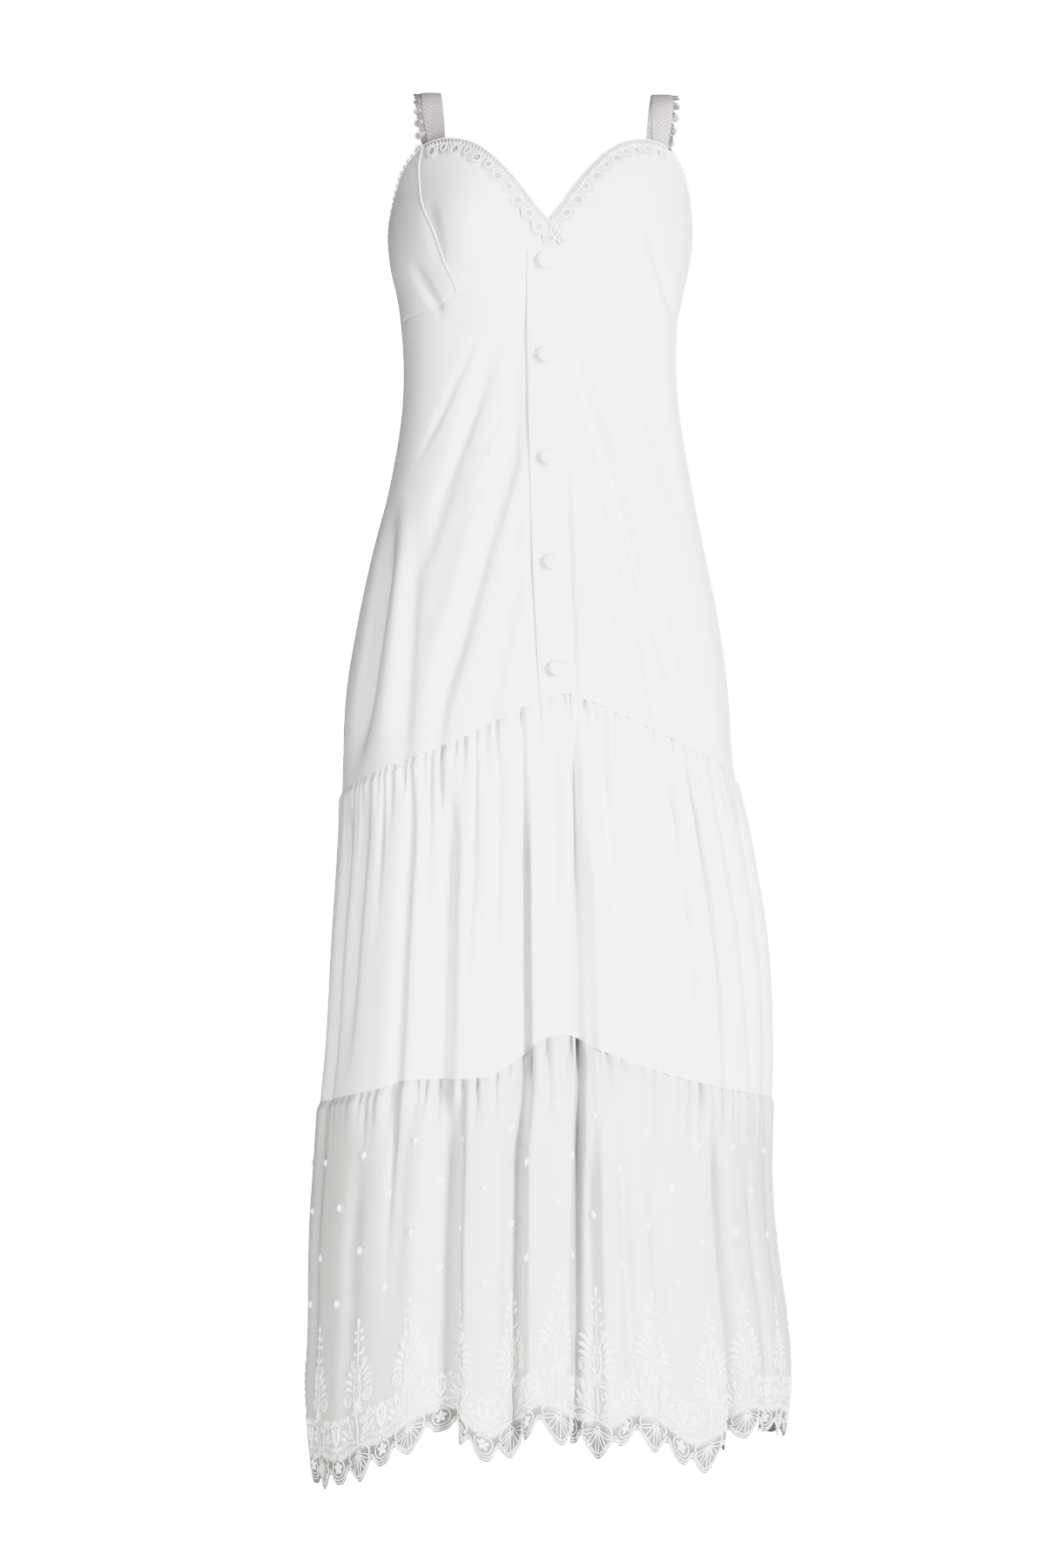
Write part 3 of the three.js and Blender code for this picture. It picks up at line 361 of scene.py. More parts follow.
HEM_TIPS = [
    (-180, 1370), (-150, 1372), (-120, 1384), (-90, 1398), (-62, 1392), (-48, 1372), (-38, 1352), (-29, 1328),
    (-22, 1336), (-15, 1353), (-9, 1343), (-4, 1323), (0, 1327), (6, 1341), (13, 1347), (18, 1334),
    (27, 1349), (36, 1369), (44, 1355), (51, 1339), (62, 1342), (75, 1350), (90, 1358), (112, 1364),
    (145, 1370), (180, 1370),
]
CUP_SEAM = [(0, 57.5), (0.15, 56), (0.35, 53), (0.57, 46.5), (0.79, 41), (1, 36.8)]
BAND_LINE = [(160, -2), (290, 0), (400, 2), (500, 4.5), (620, 10)]
BUTTON_DROPS = (182, 274, 377, 481, 586)

# Soft folds dragged across each face of the bodice and the skirt: where each starts and ends (x and drop),
# its depth, negative for a ridge, and its width
BODY_FOLDS = {
    "front": [
        (-26, 330, -102, 610, 11, 9),
        (-40, 326, -116, 600, -3, 12),
        (-46, 245, -122, 480, 4, 9),
        (-128, 430, -143, 690, 4, 8),
        (-25, 230, -36, 390, 5, 7),
        (-98, 540, -112, 690, 4, 8),
        (-26, 470, -60, 640, 4, 8),
        (-152, 430, -186, 660, 13, 7),
        (-135, 430, -163, 660, -4, 10),
        (-22, 180, -20, 400, 1.8, 3),
        (-20, 400, -12, 610, 2.2, 3.4),
        (18, 185, 22, 410, 2, 3),
        (21, 236, 84, 520, 8, 4),
        (26, 248, 122, 590, 12, 6),
        (20, 390, 29, 640, 8, 4),
        (26, 420, 38, 650, 8, 12),
        (56, 470, 74, 650, 7, 5),
        (52, 300, 104, 470, -2.2, 8),
        (88, 490, 110, 650, 7, 5),
        (90, 258, 130, 420, 3.2, 9),
        (122, 460, 152, 660, 4.5, 11),
        (-24, 284, -62, 372, 1.6, 3.2),
        (-30, 318, -74, 430, 1.8, 3.6),
        (-22, 352, -50, 450, 1.8, 3.4),
        (-66, 250, -112, 352, 1.5, 3.2),
        (-78, 268, -124, 372, 1.3, 3),
        (-58, 300, -108, 420, 1.6, 3.6),
        (-24, 420, -44, 520, 2, 3.6),
        (30, 300, 58, 380, 1.6, 3.4),
        (62, 262, 110, 352, 1.4, 3.2),
        (34, 392, 60, 416, 1.8, 5),
        (36, 486, 62, 514, 1.6, 5),
        (-32, 384, -54, 410, 1.4, 5),
        (100, 150, 132, 226, 6, 4.5),
        (66, 176, 108, 226, 3, 4.5),
        (36, 176, 70, 216, 2, 4.5),
        (-132, 180, -104, 228, 3.4, 5),
        (-118, 120, -104, 180, 2.4, 7),
    ],
    "back": [
        (-50, 320, -86, 690, 6, 13),
        (42, 300, 74, 690, 6, 13),
        (118, 430, 132, 660, 6, 12),
        (-104, 300, -128, 520, 3, 10),
        (-8, 260, 4, 470, 2.5, 10),
        (66, 250, 104, 380, 2, 8),
    ],
}
FOLD_FADE = {"in": (-0.12, 0.35), "out": (0.75, 1.2)}

# The valleys between the hanging folds: turn at the seam and at the foot, depth, widths of the right and the
# left flank, lean under one side, how flat the bottom is, and the shares of the height at its start and end
VALLEY_COLUMNS = ("top", "foot", "depth", "right", "left", "lean", "box", "start", "end")
TIER_1_VALLEYS = [
    (-72, -76, 7, 4.0, 4.0, 0, 2, 0, 1.3),
    (-60, -64, 6, 3.6, 2.4, -1, 2, 0, 0.8),
    (-41, -43, 6, 2.8, 2.2, 1, 2, 0, 1.3),
    (-35, -36, 5, 2.0, 2.0, -1, 2, 0, 0.5),
    (-28.5, -29.5, 15, 5.4, 3.2, 2, 2, 0.1, 1.3),
    (-14, -15, 4, 1.8, 1.8, 0, 2, 0, 0.7),
    (-7.2, -5.8, 9, 2.4, 0.7, 2, 2, 0, 1.3),
    (-6.4, -5.8, 14, 3.6, 0.8, 2, 2, 0.2, 1.3),
    (1.5, 1.5, 5, 1.8, 1.8, 0, 2, 0, 0.9),
    (7.8, 7.2, 15, 1.0, 1.5, 0, 2, 0, 1.3),
    (8.2, 8.6, 13, 2.4, 2.4, 0, 4, 0.3, 1.3),
    (15, 18, 9, 1.6, 2.4, 1, 2, 0, 0.9),
    (25, 27.5, 7, 1.2, 1.8, 1, 2, 0.2, 1.3),
    (37, 40, 9, 0.7, 1.1, 2, 2, 0, 1.3),
    (45, 48, 11, 0.7, 1.1, 2, 2, 0, 1.3),
    (57, 61, 6, 2.4, 2.4, 1, 2, 0, 0.9),
    (71, 74, 7, 4.0, 4.0, 0, 2, 0, 1.3),
]
TIER_2_VALLEYS = [
    (-75, -77, 4, 4.2, 4.2, 0, 2, 0, 1.3),
    (-53, -56, 3, 3.8, 3.4, -1, 2, 0.1, 1.3),
    (-38, -40, 2, 3.0, 3.0, 0, 2, 0, 0.6),
    (-25, -26.4, 27, 6.4, 3.4, 3, 2.6, 0, 1.3),
    (-8.0, -9.0, 26, 3.8, 2.2, 2, 2.4, 0, 1.3),
    (7.2, 4.8, 22, 1.2, 1.8, 1, 2, 0, 1.3),
    (9.2, 8.0, 19, 3.2, 3.4, 0, 4, 0.1, 1.3),
    (17, 18.5, 8, 1.4, 2.0, 2, 2, 0.1, 1.3),
    (25, 26.5, 8, 1.8, 2.4, 2, 2, 0.2, 1.3),
    (45, 46.5, 17, 1.6, 2.6, 3, 2, 0, 1.3),
    (58, 61, 3, 2.4, 2.4, 1, 2, 0.1, 1.3),
    (72, 74, 4, 4.0, 4.0, 0, 2, 0, 1.3),
]
VALLEY_WIDENING = (0.75, 1.0)
VALLEY_FADE = {"in": 0.25, "out": 0.2}
BACK_VALLEYS = {
    "first": 90, "last": 270, "count": 14, "wander": 3, "depth": 13, "depth_change": 0.4, "width": 4.2,
    "width_change": 0.2, "lean": 4, "box": 2, "later_start": 0.15, "end": 1.3,
}

# The gathers of each tier: how many creases, the seed of their unevenness, and the share of long ones
GATHERS = {"tier_1": (104, 5, 0.2), "tier_2": (96, 11, 0.05)}
CREASES = {
    "wander": 0.34, "drift": 1.4, "depth": (3.2, 7.0), "width": (0.42, 0.75), "short": (20, 75),
    "long": (110, 230), "side_span": (38, 66), "side_end": 105, "side_calm": 0.7, "deeper": 1.3,
    "centre_more": 0.6, "centre_reach": 16, "widening": 1.6, "seam_share": 0.5, "seam_reach": 6, "fade": 1.4,
    "half_span": 6, "sharpness": 1.5,
}

# The outline of half a border motif along the hem, from a fan scallop to a flower scallop: share of the
# repeat, and rise
HEM_SCALLOP = [
    (0, 0), (0.05, 1), (0.1, 4), (0.16, 8), (0.22, 13), (0.27, 17), (0.31, 15), (0.35, 10.5), (0.39, 7),
    (0.44, 5.3), (0.5, 5),
]


def columns(names, rows):
    """A table's columns by name, as arrays."""
    return {name: np.array(column) for name, column in zip(names, zip(*rows))}


def smooth_curve(rows):
    """A smooth curve through rows of place and value, over an array of places."""
    xs, ys = np.array(rows, float).T
    each = np.arange(len(xs))
    before, after = np.maximum(each - 1, 0), np.minimum(each + 1, len(xs) - 1)
    slopes = (ys[after] - ys[before]) / (xs[after] - xs[before])

    def value(at):
        i = np.clip(np.searchsorted(xs, at) - 1, 0, len(xs) - 2)
        span = xs[i + 1] - xs[i]
        t = np.clip((at - xs[i]) / span, 0, 1)
        bend = span * t * (1 - t) * (slopes[i] * (1 - t) - slopes[i + 1] * t)
        return ys[i] + (ys[i + 1] - ys[i]) * t * t * (3 - 2 * t) + bend

    return value


def section_curve(name):
    place = SECTION_COLUMNS.index(name)
    return smooth_curve([(row[0], row[place]) for row in SECTIONS])


def wrapped(turn):
    return (np.asarray(turn, float) + 180) % 360 - 180


def round_curve(rows, mirrored=False):
    """An edge or a seam round the dress: its drop at any turn."""
    curve = smooth_curve(rows)

    def drop_at(turn):
        turn = wrapped(turn)
        return curve(np.abs(turn) if mirrored else turn)

    return drop_at


right_at, left_at, front_at, back_at = (section_curve(name) for name in SECTION_COLUMNS[1:])
top_edge, underbust = (round_curve(rows, True) for rows in (TOP_EDGE, UNDERBUST_SEAM))
tier_1_seam, tier_2_seam, hem_tip = (round_curve(rows) for rows in (TIER_1_SEAM, TIER_2_SEAM, HEM_TIPS))
cup_seam_turn, band_x = smooth_curve(CUP_SEAM), smooth_curve(BAND_LINE)


def mix(a, b, share):
    return a + (b - a) * share


def ramp(start, end, value):
    share = np.clip((value - start) / (end - start), 0, 1)
    return share * share * (3 - 2 * share)


def bell(value):
    return np.exp(-value * value)


def lengths_along(points):
    """The length of a path from its start to each of its points."""
    return np.concatenate([[0], np.cumsum(np.linalg.norm(np.diff(points, axis=0), axis=1))])


def smooth_path(knots, points, at):
    """A smooth path through points at their knots, over an array of places."""
    return np.column_stack([smooth_curve(np.column_stack([knots, column]))(at) for column in points.T])


def half_width(turn, drop):
    return np.where(wrapped(turn) < 0, right_at(drop), left_at(drop))


def turn_at_x(x, drop):
    return np.degrees(np.arcsin(x / half_width(x, drop)))


def stacked(*parts):
    return np.stack(np.broadcast_arrays(*parts), axis=-1)


def unit(vectors):
    return vectors / np.maximum(np.linalg.norm(vectors, axis=-1, keepdims=True), 1e-9)


def section(turn, drop):
    """Points of the plain section, and the level way straight out from them."""
    angle = np.radians(turn)
    wide = half_width(turn, drop)
    deep = np.where(np.cos(angle) > 0, front_at(drop), back_at(drop))
    point = stacked(wide * np.sin(angle), -deep * np.cos(angle), -np.asarray(drop, float))
    out = unit(stacked(deep * np.sin(angle), -wide * np.cos(angle), np.zeros_like(wide)))
    return point, out


def cup_height(x, drop):
    down = (drop - CUP_APEX["drop"]) / CUP_APEX["spread_drop"]
    across = (np.abs(x) - CUP_APEX["x"]) / CUP_APEX["spread_x"]
    return CUP_APEX["height"] * np.exp(-(across**2 + down**2) / 2)


def body_fold_depth(x, drop, faces_front):
    """How far the dragged folds sink in at places on the bodice and the skirt."""
    total = np.zeros(np.broadcast(x, drop).shape)
    for face, folds in BODY_FOLDS.items():
        for from_x, from_drop, to_x, to_drop, depth, width in folds:
            way = np.array([to_x - from_x, to_drop - from_drop], float)
            length = np.hypot(*way)
            along = ((x - from_x) * way[0] + (drop - from_drop) * way[1]) / length**2
            aside = ((x - from_x) * way[1] - (drop - from_drop) * way[0]) / length
            strength = ramp(*FOLD_FADE["in"], along) * (1 - ramp(*FOLD_FADE["out"], along))
            total += np.where(faces_front == (face == "front"), depth * strength * bell(aside / width), 0)
    return total


def body_point(turn, drop, folded=True):
    """The outer face of the bodice and the skirt."""
    point, out = section(turn, drop)
    faces_front = np.cos(np.radians(turn)) > 0
    lift = cup_height(point[..., 0], drop) * ramp(0, CUP_FADE, np.cos(np.radians(turn)))
    if folded:
        point = point - out * body_fold_depth(point[..., 0], drop, faces_front)[..., None]
    point[..., 1] -= lift
    return point


def body_frame(turn, drop, folded=True):
    """A point of the outer face, its tangents a degree across and a millimetre down, and the way out."""
    right, left = (body_point(turn + step, drop, folded) for step in (-TURN_STEP, TURN_STEP))
    above, below = (body_point(turn, drop + step, folded) for step in (-DROP_STEP, DROP_STEP))
    across, down = (left - right) / (2 * TURN_STEP), (below - above) / (2 * DROP_STEP)
    return body_point(turn, drop, folded), across, down, unit(np.cross(down, across))


def moved_out(turn, drop, distance, folded=True):
    point, _, _, out = body_frame(turn, drop, folded)
    return point + out * np.asarray(distance, float)[..., None]


# Meshes


def grid_normals(grid):
    """The way out of a grid whose rows run down and whose columns run to the wearer's left."""
    down = np.gradient(grid, axis=0)
    across = np.gradient(grid, axis=1)
    return unit(np.cross(down, across))


def grid_faces(rows, cols):
    index = np.arange(rows * cols).reshape(rows, cols)
    corners = (index[:-1, :-1], index[1:, :-1], index[1:, 1:], index[:-1, 1:])
    return np.stack([corner.ravel() for corner in corners], axis=1)


def grid_border(rows, cols):
    index = np.arange(rows * cols).reshape(rows, cols)
    return np.concatenate([index[:, 0], index[-1, 1:], index[-2::-1, -1], index[0, -2:0:-1]])


def cloth_lengths(grid):
    """Distances across and down a grid, in millimetres, as its weave runs."""
    across = np.linalg.norm(np.diff(grid, axis=1), axis=2)
    down = np.linalg.norm(np.diff(grid, axis=0), axis=2)
    u = np.concatenate([np.zeros((grid.shape[0], 1)), np.cumsum(across, axis=1)], axis=1)
    v = np.concatenate([np.zeros((1, grid.shape[1])), np.cumsum(down, axis=0)], axis=0)
    return u, v


def new_mesh(name, points, faces, uv=None):
    mesh = bpy.data.meshes.new(name)
    mesh.from_pydata((points * MM).tolist(), [], faces)
    mesh.polygons.foreach_set("use_smooth", np.ones(len(mesh.polygons), bool))
    if uv is not None:
        corners = np.empty(len(mesh.loops), int)
        mesh.loops.foreach_get("vertex_index", corners)
        layer = mesh.uv_layers.new(name="cloth")
        layer.data.foreach_set("uv", (uv[corners] * MM).ravel())
    mesh.update()
    piece = bpy.data.objects.new(name, mesh)
    bpy.context.collection.objects.link(piece)
    return piece


def shell(name, grid, thickness, uv=None):
    """A closed thin shell on a grid of its outer face."""
    rows, cols = grid.shape[:2]
    count = rows * cols
    inner = grid - grid_normals(grid) * thickness
    faces = grid_faces(rows, cols)
    border = grid_border(rows, cols)
    after = np.roll(border, -1)
    rim = np.stack([after, border, border + count, after + count], axis=1)
    u, v = cloth_lengths(grid) if uv is None else uv
    uv = np.stack([u.ravel(), v.ravel()], axis=1)
    points = np.concatenate([grid.reshape(-1, 3), inner.reshape(-1, 3)])
    all_faces = np.concatenate([faces, faces[:, ::-1] + count, rim])
    piece = new_mesh(name, points, all_faces.tolist(), np.concatenate([uv, uv]))
    piece.data.set_sharp_from_angle(angle=math.radians(70))
    return piece


def rolled_edges(grid, sides="tblr", depth=SEAM_ROLL["depth"], reach=SEAM_ROLL["reach"]):
    """The grid with its edges sunk a little, as cloth rolls in at a seam."""
    u, v = cloth_lengths(grid)
    gaps = {"t": v, "b": v[-1:] - v, "l": u, "r": u[:, -1:] - u}
    sink = sum(bell(gaps[side] / reach) for side in sides)
    return grid - grid_normals(grid) * (depth * np.minimum(sink, 1))[..., None]


def edge_packed(count, edge=0.02):
    """Places from 0 to 1, with two more close to each end."""
    inner = np.linspace(edge, 1 - edge, count)
    return np.concatenate([[0, edge / 3], inner, [1 - edge / 3, 1]])


def body_panel(node, mesh, seams, top, bottom, edges="tlr"):
    """A panel of the bodice or the skirt between two side seams and a top and a bottom edge."""
    start, end = seams
    cols, rows = mesh
    down = edge_packed(rows)[:, None]
    across = edge_packed(cols)[None, :]
    turn = mix(start(down) + PANEL_GAP, end(down) - PANEL_GAP, across)
    drop = mix(top(turn) + PANEL_GAP, bottom(turn) - PANEL_GAP, down)
    grid = rolled_edges(body_point(turn, drop), edges)
    return shell(f"cloth_{node}", grid, CLOTH)


def straight_seam(turn):
    """A seam that runs down the dress at one turn."""
    return lambda down: turn + 0 * down


def side_by_side(side, middle, outer):
    """A panel's seams from the wearer's right to the left."""
    return (middle, outer) if side > 0 else (outer, middle)


BACK_SEAMS = (straight_seam(90), straight_seam(270))


# The dress, piece by piece


def bodice():
    made = {}
    for word, side in SIDES.items():
        def cup_seam(down, side=side):
            return side * cup_seam_turn(down)

        panels = {
            "cup_front": side_by_side(side, straight_seam(0), cup_seam),
            "cup_side": side_by_side(side, cup_seam, straight_seam(side * 90)),
        }
        for panel, seams in panels.items():
            node = f"{panel}_{word}"
            made[node] = body_panel(node, PANEL_MESH[panel], seams, top_edge, underbust, "tblr")
    back = "bodice_back"
    made[back] = body_panel(back, PANEL_MESH[back], BACK_SEAMS, top_edge, underbust)
    return made


def skirt():
    def band_turn(down):
        drop = mix(underbust(0), BAND_FOOT, down)
        return turn_at_x(band_x(drop), drop)

    made = {}
    for word, side in SIDES.items():
        node = f"skirt_front_{word}"
        seams = side_by_side(side, band_turn, straight_seam(side * 90))
        made[node] = body_panel(node, PANEL_MESH["skirt_front"], seams, underbust, tier_1_seam)
    back = "skirt_back"
    made[back] = body_panel(back, PANEL_MESH[back], BACK_SEAMS, underbust, tier_1_seam)
    return made


def all_valleys(rows, seed):
    """A tier's valleys as columns, with uneven ones across the back."""
    back = BACK_VALLEYS
    each = np.arange(back["count"])
    even = mix(back["first"], back["last"], (each + 0.5) / back["count"])
    turn = even + back["wander"] * np.sin(2.4 * each + seed)
    depth = back["depth"] * (1 + back["depth_change"] * np.sin(1.9 * each + 2 * seed))
    width = back["width"] * (1 + back["width_change"] * np.sin(3.1 * each + seed))
    lean = back["lean"] * np.sin(2.7 * each + seed)
    foot = turn + np.sin(3 * each + seed)
    box, start, end = 0 * each + back["box"], back["later_start"] * (each % 3), 0 * each + back["end"]
    extra = zip(turn, foot, depth, width, width, lean, box, start, end)
    return columns(VALLEY_COLUMNS, rows + list(extra))


def gather_creases(count, seed, long_share):
    """Creases that run down from a gathered seam: turn, depth, width, length and drift, all uneven."""
    rng = np.random.default_rng(seed)
    pitch = 360 / count
    turn = np.arange(count) * pitch - 180 + rng.uniform(-CREASES["wander"], CREASES["wander"], count) * pitch
    at_side = ramp(*CREASES["side_span"], np.abs(turn)) * (np.abs(turn) < CREASES["side_end"])
    depth = rng.uniform(*CREASES["depth"], count) * (1 - CREASES["side_calm"] * at_side)
    depth = depth * (CREASES["deeper"] + CREASES["centre_more"] * bell(turn / CREASES["centre_reach"]))
    width = rng.uniform(*CREASES["width"], count)
    short, long = rng.uniform(*CREASES["short"], count), rng.uniform(*CREASES["long"], count)
    length = np.where(rng.random(count) < long_share, long, short)
    drift = rng.uniform(-CREASES["drift"], CREASES["drift"], count)
    return {"turn": turn, "depth": depth, "width": width, "length": length, "drift": drift}


def valley_shift(valleys, turn, share):
    """How far the hanging folds move a tier's points in, and sideways, at turns and shares of its height."""
    sunk = np.zeros(np.broadcast(turn, share).shape)
    aside = np.zeros_like(sunk)
    for top, foot, depth, right, left, lean, box, start, end in zip(*valleys.values()):
        x = wrapped(turn - mix(top, foot, share))
        x = x / np.where(x < 0, right, left) / mix(*VALLEY_WIDENING, share)
        fade = 1 - ramp(end - VALLEY_FADE["out"], end + VALLEY_FADE["out"], share)
        strength = ramp(start, start + VALLEY_FADE["in"], share) * fade
        profile = strength * np.exp(-np.abs(x) ** box)
        sunk += depth * profile
        aside += lean * profile
    return sunk, aside


def crease_depth(creases, turn, below, height):
    """How far the gathers' creases sink in, at turns and lengths below the seam."""
    sunk = np.zeros(np.broadcast(turn, below).shape)
    for at, depth, width, length, drift in zip(*creases.values()):
        x = wrapped(turn - at - drift * below / height)
        spread = width * (1 + CREASES["widening"] * below / length)
        start = mix(CREASES["seam_share"], 1, ramp(0, CREASES["seam_reach"], below))
        fade = start * np.exp(-((below / length) ** 2) * CREASES["fade"])
        profile = np.exp(-np.abs(x / spread) ** CREASES["sharpness"])
        sunk += np.where(np.abs(x) < CREASES["half_span"], depth * fade * profile, 0)
    return sunk


TIERS = {
    "tier_1": {
        "top": tier_1_seam, "bottom": tier_2_seam, "height": 325,
        "valleys": all_valleys(TIER_1_VALLEYS, 0.4), "creases": gather_creases(*GATHERS["tier_1"]),
    },
    "tier_2": {
        "top": tier_2_seam, "bottom": hem_tip, "height": 392,
        "valleys": all_valleys(TIER_2_VALLEYS, 1.7), "creases": gather_creases(*GATHERS["tier_2"]),
    },
}


def own_relief(tier, turn, share, below):
    """How far a tier's own folds, creases and puff move its points out, and sideways."""
    facts = TIERS[tier]
    sunk, aside = valley_shift(facts["valleys"], turn, share)
    sunk = sunk + crease_depth(facts["creases"], turn, below, facts["height"])
    waves = sum(size * np.sin(np.radians(turn * count + lean * share)) for size, count, lean in SWAY["waves"])
    puff = PUFF["rise"] * ramp(0, PUFF["reach"], below)
    return puff + SWAY["size"] * waves * ramp(*SWAY["span"], share) - sunk, aside


def hanging_relief(tier, turn):
    """The relief of what a tier hangs from, along its seam."""
    if tier == "tier_1":
        point, _ = section(turn, tier_1_seam(turn))
        return -body_fold_depth(point[..., 0], tier_1_seam(turn), np.cos(np.radians(turn)) > 0), 0 * turn
    return own_relief("tier_1", turn, 1.0, tier_2_seam(turn) - tier_1_seam(turn))


def tier_grid(tier, turn, drop):
    """A tier's outer face: its own relief, which takes over from that of what it hangs from."""
    facts = TIERS[tier]
    top, bottom = facts["top"](turn), facts["bottom"](turn)
    share, below = (drop - top) / (bottom - top), drop - top
    rise, aside = own_relief(tier, turn, share, below)
    hung_rise, hung_aside = hanging_relief(tier, turn)
    hung = 1 - ramp(0, HANG_SHARE, share)
    under = TUCK_UNDER["depth"] * (1 - ramp(-TUCK_UNDER["reach"], TUCK_UNDER["out_at"], below))
    point, out = section(turn, drop)
    sideways = stacked(-out[..., 1], out[..., 0], 0 * drop)
    out_by = rise + hung_rise * hung - under
    return point + out * out_by[..., None] + sideways * (aside + hung_aside * hung)[..., None]


def tier_rows(height, foot):
    """Lengths below the seam for a tier's rows: close together under the seam, then even down to the foot."""
    under = -TUCK_UNDER["reach"] * np.array(TIER_ROWS["under"])
    start, end = TIER_ROWS["even_from"], height - foot
    even = np.linspace(start, end, int((end - start) / TIER_ROWS["step"]) + 1)
    return np.concatenate([under, TIER_ROWS["close"], even])


def tier_turns(tier, half):
    """The turns of a tier's columns over half of the dress, closer together in its valleys."""
    valleys = TIERS[tier]["valleys"]
    from_turn = TIER_HALVES[half]["from_turn"]
    even = mix(from_turn, from_turn + 180, np.linspace(0, 1, TIER_COLUMNS["tries"]))
    middle = (valleys["top"] + valleys["foot"]) / 2
    reach = np.maximum(valleys["right"], valleys["left"]) + TIER_COLUMNS["beside"]
    near = bell(wrapped(even[:, None] - middle) / reach) * (valleys["depth"] > TIER_COLUMNS["deeper_than"])
    density = 1 + TIER_COLUMNS["closer"] * near.max(axis=1)
    total = np.cumsum(density) - density[0]
    return np.interp(np.linspace(0, total[-1], TIER_HALVES[half]["columns"]), total, even)


def tier_1_piece(half):
    facts = TIERS["tier_1"]
    turn = tier_turns("tier_1", half)[None, :]
    rows = tier_rows(facts["height"], 0)[:, None] / facts["height"]
    drop = mix(facts["top"](turn), facts["bottom"](turn), rows)
    return shell(f"cloth_tier_1_{half}", tier_grid("tier_1", turn, drop), CLOTH)


class BorderCloth:
    """Half of the lower tier as cloth: places along the hem and above its tips on the outer face."""

    def __init__(self, half):
        self.half = half
        self.turn = tier_turns("tier_2", half)
        self.height = TIERS["tier_2"]["height"]
        hem_line = tier_grid("tier_2", self.turn, hem_tip(self.turn) - HEM_BORDER)
        self.along = lengths_along(hem_line)
        self.pitch = self.along[-1] / (HEM_REPEATS / 2)
        self.rise = hem_rise(self.along / self.pitch) * self.scallop_share(self.turn)

    def scallop_share(self, turn):
        """How much of its depth the scalloped edge keeps: less at the side seams, where it curls."""
        aside = 90 - np.abs(np.abs(wrapped(turn)) - 90)
        return mix(1, HEM_SIDES["share"], ramp(HEM_SIDES["from"], HEM_SIDES["to"], aside))

    def points(self, along, above):
        """Points and ways out at places along the hem and above the line of its tips."""
        turn = np.interp(along, self.along, self.turn)
        step = 0.4

        def at(turns, heights):
            top, bottom = tier_2_seam(turns), hem_tip(turns)
            return tier_grid("tier_2", turns, bottom - heights * (bottom - top) / self.height)

        point = at(turn, above)
        across = at(turn + step / 4, above) - at(turn - step / 4, above)
        down = at(turn, above - step) - at(turn, above + step)
        return point, unit(np.cross(down, across))


def hem_rise(phase):
    """How high the scalloped edge lies above its tips, at a place counted in border motifs."""
    share = np.asarray(phase) % 1
    return smooth_curve(HEM_SCALLOP)(np.minimum(share, 1 - share))


def tier_2_piece(cloth):
    top, bottom = tier_2_seam(cloth.turn)[None, :], hem_tip(cloth.turn)[None, :]
    rows = tier_rows(cloth.height, HEM_BORDER)
    upper = np.repeat(cloth.height - rows[:, None], len(cloth.turn), axis=1)
    lower = mix(HEM_BORDER, cloth.rise[None, :], np.linspace(0, 1, TIER_ROWS["border"] + 1)[1:, None])
    above = np.concatenate([upper, lower])
    drop = bottom - above * (bottom - top) / cloth.height
    grid = tier_grid("tier_2", cloth.turn[None, :], drop)
    uv = (np.broadcast_to(cloth.along[None, :], above.shape), above)
    return shell(f"cloth_tier_2_{cloth.half}", grid, HEM_CLOTH, uv)


def button_band():
    """The band over the meeting of the skirt fronts: smooth, with a rolled edge on each side."""
    across = edge_packed(*BAND_MESH["across"])[None, :]
    down = edge_packed(*BAND_MESH["down"])[:, None]
    aside = mix(-BAND_WIDTH / 2, BAND_WIDTH / 2, across)
    foot = tier_1_seam(turn_at_x(band_x(BAND_FOOT) + aside, BAND_FOOT)) - BAND_GAP
    top = np.maximum(BAND_TOP, underbust(turn_at_x(band_x(BAND_TOP) + aside, BAND_TOP)) + BAND_GAP)
    drop = mix(top, foot, down)
    turn = turn_at_x(band_x(drop) + aside, drop)
    ripple = BAND_RIPPLE["height"] * np.sin(drop / BAND_RIPPLE["down"] + aside / BAND_RIPPLE["across"])
    ripple = ripple * np.sin(drop / BAND_RIPPLE["slow"])
    pulls = [BUTTON_PULL["depth"] * bell((drop - at) / BUTTON_PULL["down"]) for at in BUTTON_DROPS]
    pull = sum(each * bell(aside / BUTTON_PULL["across"]) for each in pulls)
    grid = moved_out(turn, drop, BAND_LIFT + CLOTH + ripple - pull, False)
    return shell("cloth_button_band", rolled_edges(grid, "lr", *BAND_ROLL), BAND_CLOTH)


# Raised threads


